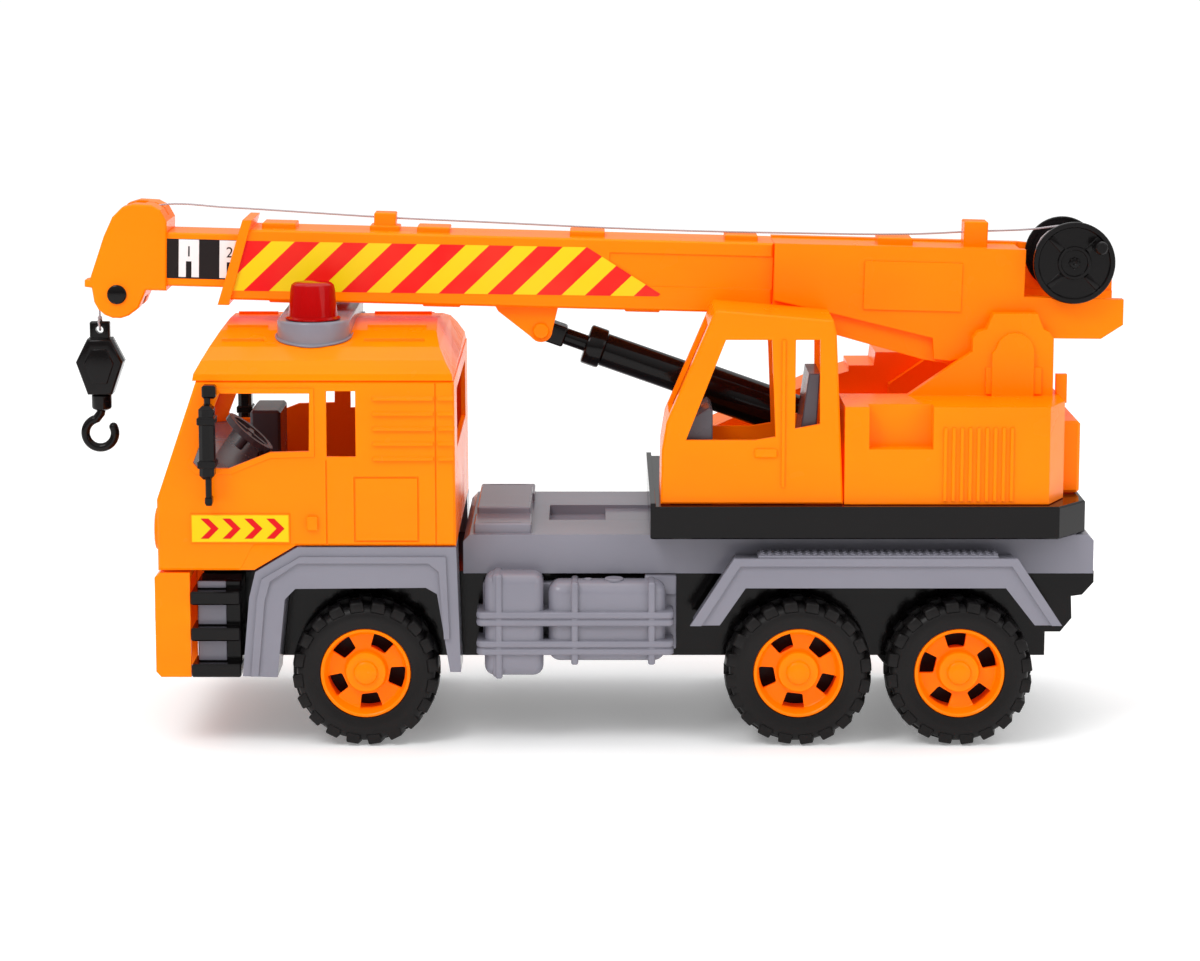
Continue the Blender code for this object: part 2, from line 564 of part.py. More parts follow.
solid("cylinder_foot_pin", STEEL, [rod(2.4, -9.9, 9.9, FOOT, steps=16)], origin=(FOOT[0], 0, FOOT[1]))
solid("boom_pivot_pin", BLACK, [rod(4.0, -35.6, 35.6, PIVOT, steps=20)], origin=(PIVOT[0], 0, PIVOT[1]))

cabin = [(34.3, BODY_Z), (34.8, 159.6), (37.2, 174.5), (62.5, 233.6), (64, 234.4), (125.5, 229)]
cabin += [(127.2, 222), (131.4, BODY_Z)]
cabin_in = [(36.9, 120), (37.4, 159), (39.7, 173.6), (64.6, 231.6), (123.4, 226.4), (124.6, 221)]
cabin_in += [(128.6, 120)]
front_window = [(68.6, 218.8), (92.9, 218.8), (95.2, 167), (84.2, 165.2), (47.6, 165.2)]
rear_window = [(105.6, 218.8), (118.4, 218.8), (118.7, 173.8), (105.5, 171.3)]
cabin_cuts = [prism(cabin_in, -79.4, -30.2), prism(front_window, -90, -20), prism(rear_window, -90, -20)]
cabin_cuts.append(box(30, 60, -74, -33, 178, 226))
cabin_cuts.append(box(120, 140, -74, -33, 160, 214))
cabin_late = [box(84, 96, -83.4, -81, 156, 160.6, 0.5), box(98.4, 100.2, -83, -81, 140, 219)]
cabin_shell = prism(cabin, -82, -27.6, bevel=1.0)
solid("operator_cabin", ORANGE, [cabin_shell], cabin_cuts, cabin_late, origin=(SLEW_X, 0, BODY_Z))

console = [(39.6, 130.7), (40, 160), (44, 172), (60, 182), (62, 180), (62, 130.7)]
levers = [box(52, 56, -62, -58, 178, 186), box(50, 54, -48, -44, 176, 184)]
solid("operator_console", GREY, [prism(console, -76, -34, bevel=0.6)], (), levers)
seat = [box(78, 112, -76, -34, 130.7, 158, 1.5)]
seat += [prism([(106, 150), (113, 200), (119, 200), (116, 150)], -76, -34, bevel=0.6)]
solid("operator_seat", GREY, seat)

# ---------------------------------------------------------------- boom, drawn level and then tilted

tube = [(-204.5, BOOM_Z[0]), (-192.2, BOOM_Z[1]), (94.9, BOOM_Z[1]), (94.9, BOOM_Z[0])]
outer_adds = [prism(tube, -BOOM_Y, BOOM_Y, bevel=1.0)]
collar = [(-206.5, 219.5), (-193.5, 266), (-188.4, 266), (-189.5, 262), (-200.4, 219.5)]
for x0, x1 in ((-184.1, -165.6), (-99.5, -81.5), (-16, 3.1), (68.7, 86.7)):
    outer_adds.append(box(x0, x1, -11, 11, 258, 263.7, 0.6))
for x0, x1 in ((-179.3, -159.2), (-95.4, -74.8), (15.1, 34.2)):
    outer_adds.append(box(x0, x1, -15, 15, 220.6, 226, 0.6))
outer_adds.append(prism(collar, -BOOM_Y - 2, BOOM_Y + 2))
outer_adds += [box(-123.2, -111.2, -7, 7, 259, 270.4, 0.6), box(-125.4, -109, -8, 8, 259, 263.5, 0.6)]
lug_at = (-30.42, 208.8)
lug_shape = [(-57, 224), (-54, 219), (-36, 205.6)] + arc(lug_at, 6.2, 225, 360, 8) + [(-21, 224)]
outer_adds.append(prism(lug_shape, -15.5, 15.5))
outer_cuts = [box(-210, 100, -INNER_Y - 0.4, INNER_Y + 0.4, INNER_Z[0] - 0.4, INNER_Z[1] + 0.4)]
outer_cuts += both(box(6, 95.6, -24, -21.2, 235.5, 253.5))
outer_cuts.append(box(-125, -109, -1.2, 1.2, 265.4, 275))
outer_cuts.append(box(-60, -15, -9.6, 9.6, 200, 222.2))
boom_origin = (PIVOT[0], 0, PIVOT[1])
outer_cuts.append(rod(2.8, -13.5, 13.5, lug_at, steps=16))
solid("boom_outer", ORANGE, outer_adds, outer_cuts, (), BOOM_TILT, origin=boom_origin)

housing = [(95.3, 258.4), (95.3, 261.2), (232.1, 261.2), (278.9, 257.4), (285.6, 243.5), (286.1, 221.7)]
housing += [(274.4, 213.7), (248.8, 213.3), (192.9, 199.5), (184.1, 200.3), (182.9, 211.8)]
housing += [(131.3, 223.1), (95.8, 230.2)]
web = [(95.3, 222.3), (95.3, 260.2), (230, 260.2), (230, 206), (194, 197), (178, 199.5), (131.3, 211.5)]
web += [(112, 219)]
housing_adds = [prism(web, -BOOM_Y, BOOM_Y)] + both(prism(housing, -26, -19))
housing_adds.append(box(228, 262, -22, 22, 214.5, 232))
housing_adds.append(box(72, 97, -INNER_Y, INNER_Y, INNER_Z[0], INNER_Z[1]))
housing_adds += both(prism([(144.5, 226.6), (144.5, 253), (197.5, 253), (197.5, 226.6)], -27, -25))
housing_adds += [box(199.4, 212.5, -8, 8, 259, 274.2, 0.6), box(152.3, 171.4, -11, 11, 258, 264.4, 0.6)]
housing_cuts = [rod(4.3, -30, 30, PIVOT, steps=20), box(231.6, 290, -30, 20.6, 235.5, 270)]
housing_cuts += [rod(22.9, -30, 20.6, DRUM, steps=28), rod(4.4, 15, 30, DRUM, steps=16)]
housing_cuts += [box(198, 214, -1.2, 1.2, 267.2, 280), box(120, 176, -19, 19, 190, 256)]
housing_cuts += [box(182, 208, -19, 19, 190, 256)]
housing_cuts.append(box(70, 117, -15.6, 15.6, 231, 255.2))
solid("boom_rear_housing", ORANGE, housing_adds, housing_cuts, (), BOOM_TILT, origin=boom_origin)

inner_x, inner_z = on_tilt(-246.4, 243)
inner_adds = [box(-246.4, 42, -INNER_Y, INNER_Y, INNER_Z[0], INNER_Z[1], 0.8)]
inner_cuts = [box(-243.5, 46, -INNER_Y + 2.4, INNER_Y - 2.4, INNER_Z[0] + 2.6, INNER_Z[1] - 2.4)]
solid("boom_inner", ORANGE, inner_adds, inner_cuts, (), BOOM_TILT, origin=(inner_x, 0, inner_z))

head = [(-279.5, 227), (-279.5, 230.6), (-276.7, 231), (-269.2, 254.8), (-264.6, 265.4), (-259.4, 270.8)]
head += [(-253.6, 272.7), (-243.6, 272.4), (-238.6, 269.8), (-235, 263.6), (-234.9, 226)]
head += [(-246, 226), (-250, 216)] + arc(SHEAVE, 13.2, 320, 200, 6) + [(-275.6, 226.5)]
head_cuts = [box(-282, -247.9, -7.4, 7.4, 205, 276)]
head_cuts += [box(-246.7, -230, -INNER_Y - 0.3, INNER_Y + 0.3, INNER_Z[0] - 0.3, INNER_Z[1] + 0.3)]
head_cuts += [box(-250, -230, -1.6, 1.6, 265.5, 276), rod(3.2, -22, 22, SHEAVE, steps=16)]
head_origin = (on_tilt(*SHEAVE)[0], 0, on_tilt(*SHEAVE)[1])
solid("boom_head", ORANGE, [prism(head, -20, 20, bevel=0.8)], head_cuts, (), BOOM_TILT, origin=head_origin)
groove = [(3.3, -5), (13.3, -5), (11.7, -1.2), (11.7, 1.2), (13.3, 5), (3.3, 5)]
solid("head_sheave", BLACK, [turned(groove, SHEAVE)], tilt=BOOM_TILT, origin=head_origin)
pin = turned([(0, -21.5), (5.2, -21.5), (5.2, -20.3), (3, -20.3), (3, 20.3), (0, 20.3)], SHEAVE, "Y", 16)
solid("sheave_pin", BLACK, [pin], tilt=BOOM_TILT, origin=head_origin)

drum_origin = (on_tilt(*DRUM)[0], 0, on_tilt(*DRUM)[1])
drum_profile = [(0, -35.4), (2.7, -36.8), (2.7, -35), (7.4, -35), (7.4, -36.4), (9, -36.4), (9, -35)]
drum_profile += [(19.5, -35), (19.5, -36), (22.1, -36), (22.1, -33), (11, -33), (11, 17.5)]
drum_profile += [(20.5, 17.5), (20.5, 20), (4, 20), (4, 27), (0, 27)]
drum_cuts = [rod(2.1, 10, 30, DRUM, steps=12), rod(1.8, -38, -34, CRANK, steps=12)]
drum = turned(drum_profile, DRUM, "Y", 28)
solid("winch_drum", BLACK, [drum], drum_cuts, tilt=BOOM_TILT, origin=drum_origin)
coil = turned([(11.3, -32.6), (16.6, -32.6), (16.6, 17.1), (11.3, 17.1)], DRUM)
solid("rope_coil", ROPE, [coil], tilt=BOOM_TILT, origin=drum_origin)
screw = turned([(0, 12), (1.9, 12), (1.9, 27.3), (6.5, 27.3), (6, 29.6), (0, 29.6)], DRUM, "Y", 16)
solid("winch_screw", STEEL, [screw], tilt=BOOM_TILT, origin=drum_origin)
knob = [(0, -52), (3, -52), (3.6, -50), (3.6, -37.1), (1.6, -37.1), (1.6, -34.3), (0, -34.3)]
solid("crank_knob", BLACK, [turned(knob, CRANK, "Y", 16)], tilt=BOOM_TILT, origin=drum_origin)

# ---------------------------------------------------------------- lifting cylinder

slope = math.atan2(LUG[1] - FOOT[1], FOOT[0] - LUG[0])
stroke = math.hypot(FOOT[0] - LUG[0], FOOT[1] - LUG[1])


def along(profile, steps=20):
    """A part turned round the cylinder's own axis. Heights are distances from the boom lug."""
    shape = turned(profile, (0, 0), "X", steps)
    bmesh.ops.rotate(shape, cent=(0, 0, 0), matrix=Matrix.Rotation(slope, 3, "Y"), verts=shape.verts[:])
    bmesh.ops.translate(shape, vec=(LUG[0], 0, LUG[1]), verts=shape.verts[:])
    return shape


def along_box(x0, x1, y0, y1, z0, z1, bevel=0.0):
    shape = box(x0, x1, y0, y1, z0, z1, bevel)
    bmesh.ops.rotate(shape, cent=(0, 0, 0), matrix=Matrix.Rotation(slope, 3, "Y"), verts=shape.verts[:])
    bmesh.ops.translate(shape, vec=(LUG[0], 0, LUG[1]), verts=shape.verts[:])
    return shape


lug_origin = (LUG[0], 0, LUG[1])
rod_adds = [along([(0, 8), (4.6, 8), (4.6, 158), (0, 158)], 16), along_box(-5.6, 14, -9, 9, -5.6, 5.6, 1.0)]
solid("cylinder_rod", BLACK, rod_adds, [rod(2.8, -12, 12, LUG, steps=16)], origin=lug_origin)
solid("cylinder_pin", BLACK, [rod(2.5, -13.2, 13.2, LUG, steps=16)], origin=lug_origin)
barrel_adds = [along([(0, 26), (11, 26), (11, 36), (9.2, 37), (9.2, 82), (12, 85), (12, 204), (0, 204)])]
barrel_adds.append(along_box(200, stroke + 8.5, -4.5, 4.5, -8.2, 8.2, 1.0))
barrel_cuts = [along([(0, 20), (5.0, 20), (5.0, 198), (0, 198)], 16), rod(5.7, -8, 8, FOOT, steps=16)]
solid("cylinder_barrel", BLACK, barrel_adds, barrel_cuts, origin=(FOOT[0], 0, FOOT[1]))

# ---------------------------------------------------------------- rope and hook

level_route = arc(DRUM, 17.3, 80, 98, 2) + [(236.7, 270.2), (206, 268.2), (171, 265.8), (100, 264.6)]
level_route += [(44, 264.4), (0, 264.9), (-60, 266.2), (-117, 267.4), (-160, 269), (-204, 270.6)]
level_route += [(-241, 270.9), (-256, 265)]
level_route += arc(SHEAVE, SHEAVE_ROPE_R, 150, 177, 3)
solid("hoist_rope", ROPE, [swept(level_route, ROPE_R, 6)], (), (), BOOM_TILT)
sheave_x, sheave_z = on_tilt(*SHEAVE)
fall = [(sheave_x - SHEAVE_ROPE_R, sheave_z - 0.8), (sheave_x - SHEAVE_ROPE_R, 219.6)]
solid("hoist_rope_fall", ROPE, [swept(fall, ROPE_R, 6)])

block = [(-6.5, 209.8), (-12.94, 197), (-6.7, 179), (6.7, 179), (12.94, 197), (6.5, 209.8)]
block = [(HOOK_X + x, z) for x, z in block]
block_adds = [prism(block, -7.5, 7.5, bevel=1.2), box(HOOK_X - 5.5, HOOK_X + 5.5, -2.6, 2.6, 206, 219, 0.8)]
block_cuts = [rod(2.0, -5, 5, (HOOK_X, 214.6), steps=12), rod(3.3, 170, 192, (HOOK_X, 0), "Z", 16)]
solid("hook_block", BLACK, block_adds, block_cuts, origin=(HOOK_X, 0, 209.8))
hook_centre = (HOOK_X - 1.2, 156.8)
bend = [(HOOK_X, 172), (HOOK_X - 0.4, 168.4)] + arc(hook_centre, 8.15, 100, 385, 16)
shank = turned([(0, 170), (5.5, 170), (5.5, 178.6), (3, 178.6), (3, 190), (0, 190)], (HOOK_X, 0), "Z", 16)
solid("hook", BLACK, [shank, swept(bend, 2.45, 10)], (), (), origin=(HOOK_X, 0, 178.6))
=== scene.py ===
"""Looks for the toy mobile crane: materials, fine shapes, labels, cord, floor, light and camera."""

import json
import math

import bmesh
import bpy
from mathutils import Matrix, Vector


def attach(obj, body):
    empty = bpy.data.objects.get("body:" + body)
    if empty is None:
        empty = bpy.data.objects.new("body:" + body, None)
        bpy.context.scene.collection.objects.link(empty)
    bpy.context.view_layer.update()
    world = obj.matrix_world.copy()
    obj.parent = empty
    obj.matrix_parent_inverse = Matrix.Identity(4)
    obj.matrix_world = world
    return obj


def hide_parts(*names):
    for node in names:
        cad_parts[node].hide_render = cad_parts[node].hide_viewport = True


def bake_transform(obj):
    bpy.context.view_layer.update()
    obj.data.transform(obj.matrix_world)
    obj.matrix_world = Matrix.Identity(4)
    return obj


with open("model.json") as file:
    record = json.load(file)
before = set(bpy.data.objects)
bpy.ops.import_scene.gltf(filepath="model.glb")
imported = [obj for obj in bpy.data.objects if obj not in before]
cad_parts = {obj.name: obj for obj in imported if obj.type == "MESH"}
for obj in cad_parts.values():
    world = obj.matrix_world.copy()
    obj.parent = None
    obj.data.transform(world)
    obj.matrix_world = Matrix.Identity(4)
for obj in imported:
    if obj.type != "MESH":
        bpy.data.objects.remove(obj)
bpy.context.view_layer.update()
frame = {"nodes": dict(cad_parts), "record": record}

# Millimetres, in the part's frame: x and z as built, except that SHEAVE and DRUM are on the boom drawn level.
MM = 0.001
PIVOT = (226.4, 207.0)
BOOM_TILT = math.radians(1.5)
SHEAVE = (-261.8, 223.3)
SHEAVE_ROPE_R = 12.4
DRUM = (256.8, 255.6)
LUG = (-30.3, 215.5)
FOOT = (175.0, 143.0)
HOOK_X = -273.6
ROPE_R = 0.5
AXLES = {"front": -123.5, "mid": 108.3, "rear": 194.4}
WINDOW_TURN = {"front": -11, "mid": -25, "rear": 23}
WHEEL_R = 39.7
AXLE_Z = 39.7
RIM_R = 24.3
TYRE_Y = (61.3, 88.0)
BAR_X = -151.5
BOOM_SIDE = 22.05
INNER_BOOM_SIDE = 18.02
CAB_SIDE = 93.72
# The hands and the signs of their y; the camera looks at the left.
SIDES = (("left", -1), ("right", 1))

# ---------------------------------------------------------------- materials


class Nodes:
    """A material's node tree, with short calls for the nodes that the finishes share."""

    def __init__(self, name):
        self.material = bpy.data.materials.new(name)
        self.material.use_nodes = True
        self.tree = self.material.node_tree
        self.shader = self.tree.nodes["Principled BSDF"]
        self.where = self.add("ShaderNodeTexCoord").outputs["Object"]

    def add(self, kind, **values):
        node = self.tree.nodes.new(kind)
        for key, value in values.items():
            setattr(node, key, value)
        return node

    def link(self, start, end):
        self.tree.links.new(start, end)

    def put(self, value, socket):
        """Sets a number or a colour on a socket, or links another node's output to it."""
        if isinstance(value, bpy.types.NodeSocket):
            self.link(value, socket)
        else:
            socket.default_value = value

    def calculate(self, operation, *terms):
        """The result of one sum, whose terms are numbers or other nodes' outputs."""
        node = self.add("ShaderNodeMath", operation=operation)
        for term, socket in zip(terms, node.inputs):
            self.put(term, socket)
        return node.outputs[0]

    def noise(self, scale, detail=3.0, stretch=None):
        """Cloudy unevenness, finer as the scale grows, squeezed along an axis when asked."""
        noise = self.add("ShaderNodeTexNoise")
        noise.inputs["Scale"].default_value = scale
        noise.inputs["Detail"].default_value = detail
        if stretch:
            mapping = self.add("ShaderNodeMapping")
            mapping.inputs["Scale"].default_value = stretch
            self.link(self.where, mapping.inputs["Vector"])
            self.link(mapping.outputs["Vector"], noise.inputs["Vector"])
        else:
            self.link(self.where, noise.inputs["Vector"])
        return noise.outputs["Fac"]

    def blend_colours(self, factor, first, second):
        """The first colour where the factor is 0, the second where it is 1."""
        mix = self.add("ShaderNodeMix", data_type="RGBA")
        ends = [socket for socket in mix.inputs if socket.type == "RGBA"]
        for colour, socket in zip((first, second), ends):
            self.put((*colour, 1) if isinstance(colour, tuple) else colour, socket)
        self.link(factor, mix.inputs["Factor"])
        return next(socket for socket in mix.outputs if socket.type == "RGBA")

    def spread(self, value, low, high, start=0.3, stop=0.7):
        """value, from start to stop, spread over low to high."""
        mapped = self.add("ShaderNodeMapRange")
        mapped.inputs["From Min"].default_value = start
        mapped.inputs["From Max"].default_value = stop
        mapped.inputs["To Min"].default_value = low
        mapped.inputs["To Max"].default_value = high
        self.link(value, mapped.inputs["Value"])
        return mapped.outputs["Result"]

    def bump(self, height, strength, distance, edge=0.0):
        """A fine relief on the surface, with edges that catch the light when an edge radius is given."""
        bump = self.add("ShaderNodeBump")
        bump.inputs["Strength"].default_value = strength
        bump.inputs["Distance"].default_value = distance
        self.link(height, bump.inputs["Height"])
        if edge:
            bevel = self.add("ShaderNodeBevel", samples=4)
            bevel.inputs["Radius"].default_value = edge
            self.link(bevel.outputs["Normal"], bump.inputs["Normal"])
        self.link(bump.outputs["Normal"], self.shader.inputs["Normal"])


EDGE = 0.0005
# Colour of a painted glow: red light that the orange plastic gives off of itself, standing for light through
# its thin walls.
PAINTED_GLOW_COLOUR = (1.0, 0.04, 0.0, 1.0)


def moulded(name, colour, deep, rough, grain=0.25, coat=0.0, shine=0.5, painted_glow=0.0):
    """Moulded plastic: slight flow marks in the colour, an uneven gloss, a fine skin and soft edges.

    The glow is painted light: a weak red emission that stands for light coming through thin walls, and it
    lightens and reddens the shaded sides."""
    n = Nodes(name)
    flow = n.noise(9.0, 4.0, (1.0, 1.0, 2.6))
    n.link(n.blend_colours(n.spread(flow, 0, 1), colour, deep), n.shader.inputs["Base Color"])
    n.link(n.spread(n.noise(38.0), rough * 0.85, rough * 1.2), n.shader.inputs["Roughness"])
    n.bump(n.noise(900.0, 2.0), grain, 0.00012, EDGE)
    n.shader.inputs["Specular IOR Level"].default_value = shine
    n.shader.inputs["Coat Weight"].default_value = coat
    n.shader.inputs["Coat Roughness"].default_value = 0.12
    # Painted light: a weak red emission, though the plastic is no lamp, which lightens and reddens its shaded
    # sides.
    if painted_glow:
        n.shader.inputs["Emission Color"].default_value = PAINTED_GLOW_COLOUR
        n.shader.inputs["Emission Strength"].default_value = painted_glow
    return n.material


# The orange plastic carries a painted red glow, given as its emission strength.
ORANGE = moulded("orange_moulding", (1.0, 0.238, 0.0), (0.98, 0.212, 0.0), 0.24, shine=0.10, painted_glow=0.13)
GREY = moulded("grey_moulding", (0.225, 0.220, 0.262), (0.200, 0.196, 0.236), 0.20, coat=0.05, shine=0.3)
DARK_GREY = moulded("dark_grey_moulding", (0.085, 0.078, 0.090), (0.070, 0.065, 0.076), 0.25, shine=0.3)
BLACK = moulded("black_moulding", (0.0045, 0.0036, 0.0038), (0.003, 0.0025, 0.0026), 0.12, shine=0.17)
RUBBER = moulded("tyre_plastic", (0.010, 0.009, 0.009), (0.007, 0.0062, 0.0062), 0.40, grain=0.6, shine=0.16)


def tinted_red():
    """Clear red plastic with faint swirls in its gloss."""
    n = Nodes("red_lens")
    n.shader.inputs["Transmission Weight"].default_value = 0.1
    n.shader.inputs["Specular IOR Level"].default_value = 0.12
    n.shader.inputs["IOR"].default_value = 1.46
    tint = n.blend_colours(n.spread(n.noise(30.0), 0, 1), (0.46, 0.0005, 0.001), (0.36, 0.0005, 0.0005))
    n.link(tint, n.shader.inputs["Base Color"])
    n.link(n.spread(n.noise(60.0), 0.05, 0.12), n.shader.inputs["Roughness"])
    n.bump(n.noise(400.0, 1.0), 0.1, 0.0001)
    return n.material


def twisted_cord():
    """Braided cord: fine slanting strands in colour and height."""
    n = Nodes("cord")
    wave = n.add("ShaderNodeTexWave", wave_type="BANDS", bands_direction="DIAGONAL")
    wave.inputs["Scale"].default_value = 420.0
    wave.inputs["Distortion"].default_value = 1.5
    n.link(n.where, wave.inputs["Vector"])
    strands = wave.outputs["Fac"]
    n.link(n.blend_colours(strands, (0.30, 0.27, 0.29), (0.50, 0.46, 0.48)), n.shader.inputs["Base Color"])
    n.shader.inputs["Roughness"].default_value = 0.85
    n.shader.inputs["Sheen Weight"].default_value = 0.3
    n.bump(strands, 0.5, 0.0002)
    return n.material


def plated_steel():
    """Zinc-plated steel with fine lengthwise scratches."""
    n = Nodes("plated_steel")
    n.shader.inputs["Metallic"].default_value = 1.0
    tone = n.noise(60.0, 6.0, (1.0, 12.0, 1.0))
    n.link(n.blend_colours(tone, (0.52, 0.52, 0.54), (0.68, 0.68, 0.70)), n.shader.inputs["Base Color"])
    n.link(n.spread(tone, 0.25, 0.42), n.shader.inputs["Roughness"])
    n.bump(tone, 0.2, 0.0001)
    return n.material


def striped_print(name, first, second, period, share, start):
    """A printed film with slanting stripes, measured in its own plane, lightly uneven as ink is."""
    n = Nodes(name)
    split = n.add("ShaderNodeSeparateXYZ")
    n.link(n.where, split.inputs["Vector"])
    slant = n.calculate("SUBTRACT", split.outputs["X"], split.outputs["Z"])
    turns = n.calculate("DIVIDE", n.calculate("SUBTRACT", slant, start), period)
    stripe = n.calculate("LESS_THAN", n.calculate("FRACT", turns), share)
    ink = n.spread(n.noise(25.0), 0.0, 0.05)
    printed = n.blend_colours(stripe, second, first)
    n.link(n.blend_colours(ink, printed, (0.9, 0.5, 0.2)), n.shader.inputs["Base Color"])
    n.link(n.spread(n.noise(45.0), 0.28, 0.38), n.shader.inputs["Roughness"])
    n.shader.inputs["Specular IOR Level"].default_value = 0.2
    n.bump(n.noise(300.0), 0.1, 0.00005)
    return n.material


LENS = tinted_red()
CORD = twisted_cord()
STEEL = plated_steel()
FILM_BLACK = moulded("black_print", (0.012, 0.006, 0.006), (0.008, 0.005, 0.005), 0.3, grain=0.1, shine=0.2)
FILM_WHITE = moulded("white_print", (0.86, 0.82, 0.82), (0.80, 0.77, 0.77), 0.35, grain=0.1)
FILM_YELLOW = moulded("yellow_print", (0.83, 0.58, 0.0), (0.78, 0.54, 0.0), 0.35, grain=0.1, shine=0.2)
FILM_RED = moulded("red_print", (0.75, 0.0, 0.005), (0.66, 0.0, 0.004), 0.35, grain=0.1, shine=0.2)
CLEAR = moulded("lamp_face", (0.80, 0.80, 0.82), (0.70, 0.70, 0.73), 0.12, grain=0.1, coat=0.6)
STRIPE_PERIOD = 0.0262
RED_SHARE = 0.52
FIRST_STRIPE = -0.42
HAZARD = striped_print(
    "hazard_stripes", (0.79, 0.0, 0.003), (0.83, 0.60, 0.0), STRIPE_PERIOD, RED_SHARE, FIRST_STRIPE
)

# ---------------------------------------------------------------- shapes, in millimetres


def place(centre, axis, u, v, height):
    """A point (u, v) from a centre, in the plane across an axis, at a height along it."""
    if axis == "Y":
        return Vector((centre[0] + u, height, centre[1] + v))
    if axis == "Z":
        return Vector((centre[0] + u, centre[1] + v, height))
    return Vector((height, centre[0] + u, centre[1] + v))


def turned(profile, centre=(0, 0), axis="Y", steps=64):
    """A closed profile of (radius, height) turned round an axis."""
    bm = bmesh.new()
    rings = []
    for radius, height in profile:
        if radius == 0:
            rings.append([bm.verts.new(place(centre, axis, 0, 0, height))])
            continue
        ring = []
        for i in range(steps):
            a = 2 * math.pi * i / steps
            ring.append(bm.verts.new(place(centre, axis, radius * math.cos(a), radius * math.sin(a), height)))
        rings.append(ring)
    pairs = list(zip(rings, rings[1:]))
    if len(rings[0]) > 1:
        pairs.append((rings[-1], rings[0]))
    for one, two in pairs:
        for i in range(steps):
            j = (i + 1) % steps
            corners = [one[i % len(one)], one[j % len(one)], two[j % len(two)], two[i % len(two)]]
            face = [v for k, v in enumerate(corners) if v not in corners[:k]]
            if len(face) > 2:
                bm.faces.new(face)
    bmesh.ops.recalc_face_normals(bm, faces=bm.faces[:])
    return bm


def box(x0, x1, y0, y1, z0, z1, bevel=0.0, segments=3):
    """A box between two corners, with its edges rounded when asked."""
    bm = bmesh.new()
    bmesh.ops.create_cube(bm, size=1.0)
    for v in bm.verts:
        v.co = Vector((x0 if v.co.x < 0 else x1, y0 if v.co.y < 0 else y1, z0 if v.co.z < 0 else z1))
    if bevel:
        bmesh.ops.bevel(bm, geom=bm.edges[:], offset=bevel, segments=segments, profile=0.5, affect="EDGES")
    return bm


def prism(points, lo, hi, axis="Y", bevel=0.0, segments=3):
    """A closed outline pushed from lo to hi, its two rims rounded when asked."""
    bm = bmesh.new()
    if axis == "Y":
        low = [bm.verts.new((u, lo, v)) for u, v in points]
    elif axis == "Z":
        low = [bm.verts.new((u, v, lo)) for u, v in points]
    else:
        low = [bm.verts.new((lo, u, v)) for u, v in points]
    face = bm.faces.new(low)
    push = {"X": Vector((hi - lo, 0, 0)), "Y": Vector((0, hi - lo, 0)), "Z": Vector((0, 0, hi - lo))}[axis]
    grown = bmesh.ops.extrude_face_region(bm, geom=[face], use_keep_orig=True)
    bmesh.ops.translate(bm, vec=push, verts=[g for g in grown["geom"] if isinstance(g, bmesh.types.BMVert)])
    bmesh.ops.recalc_face_normals(bm, faces=bm.faces[:])
    if bevel:
        k = "XYZ".index(axis)
        rims = [e for e in bm.edges if abs(e.verts[0].co[k] - e.verts[1].co[k]) < 1e-6]
        bmesh.ops.bevel(bm, geom=rims, offset=bevel, segments=segments, profile=0.5, affect="EDGES")
    return bm


def swept(path, radius, sides=12, closed=False):
    """A round bar along a list of 3-D points."""
    bm = bmesh.new()
    points = [Vector(p) for p in path]
    count = len(points)
    rings = []
    side = None
    for i, here in enumerate(points):
        before = points[i - 1] if closed or i else here
        after = points[(i + 1) % count] if closed or i < count - 1 else here
        ahead = (after - before).normalized()
        if side is None:
            guess = Vector((0, 1, 0)) if abs(ahead.y) < 0.9 else Vector((1, 0, 0))
            side = ahead.cross(guess).normalized()
        side = (side - ahead * side.dot(ahead)).normalized()
        other = ahead.cross(side)
        ring = []
        for k in range(sides):
            a = 2 * math.pi * k / sides
            ring.append(bm.verts.new(here + radius * (math.cos(a) * side + math.sin(a) * other)))
        rings.append(ring)
    pairs = list(zip(rings, rings[1:]))
    if closed:
        pairs.append((rings[-1], rings[0]))
    else:
        bm.faces.new(rings[0])
        bm.faces.new(rings[-1][::-1])
    for one, two in pairs:
        for k in range(sides):
            j = (k + 1) % sides
            bm.faces.new((one[k], one[j], two[j], two[k]))
    bmesh.ops.recalc_face_normals(bm, faces=bm.faces[:])
    return bm


def arc(centre, radius, a0, a1, steps):
    """Points on a circle from one angle to another, in degrees."""
    found = []
    for i in range(steps + 1):
        a = math.radians(a0 + (a1 - a0) * i / steps)
        found.append((centre[0] + radius * math.cos(a), centre[1] + radius * math.sin(a)))
    return found


def mirrored(shape):
    """A copy of a shape on the truck's other side."""
    twin = shape.copy()
    bmesh.ops.scale(twin, vec=(1, -1, 1), verts=twin.verts[:])
    bmesh.ops.reverse_faces(twin, faces=twin.faces[:])
    return twin


def on_tilt(x, z):
    """World (x, z) of a point given on the level boom."""
    c = math.cos(BOOM_TILT)
    s = math.sin(BOOM_TILT)
    dx = x - PIVOT[0]
    dz = z - PIVOT[1]
    return PIVOT[0] + dx * c + dz * s, PIVOT[1] - dx * s + dz * c


LEVEL = Matrix.Identity(4)
TILTED = (
    Matrix.Translation(Vector((PIVOT[0], 0, PIVOT[1])))
    @ Matrix.Rotation(BOOM_TILT, 4, "Y")
    @ Matrix.Translation(-Vector((PIVOT[0], 0, PIVOT[1])))
)


def mesh_of(name, shapes, where):
    """One mesh in metres from shapes in millimetres, which are used up."""
    mesh = bpy.data.meshes.new(name)
    bm = bmesh.new()
    for shape in shapes:
        piece = bpy.data.meshes.new("piece")
        shape.to_mesh(piece)
        bm.from_mesh(piece)
        bpy.data.meshes.remove(piece)
        shape.free()
    bmesh.ops.transform(bm, matrix=Matrix.Scale(MM, 4) @ where, verts=bm.verts[:])
    bm.to_mesh(mesh)
    bm.free()
    return mesh


def finish_mesh(obj, sharp=35.0):
    """Smooth shading, except over edges that turn by more than the given degrees."""
    obj.data.shade_smooth()
    obj.data.set_sharp_from_angle(angle=math.radians(sharp))


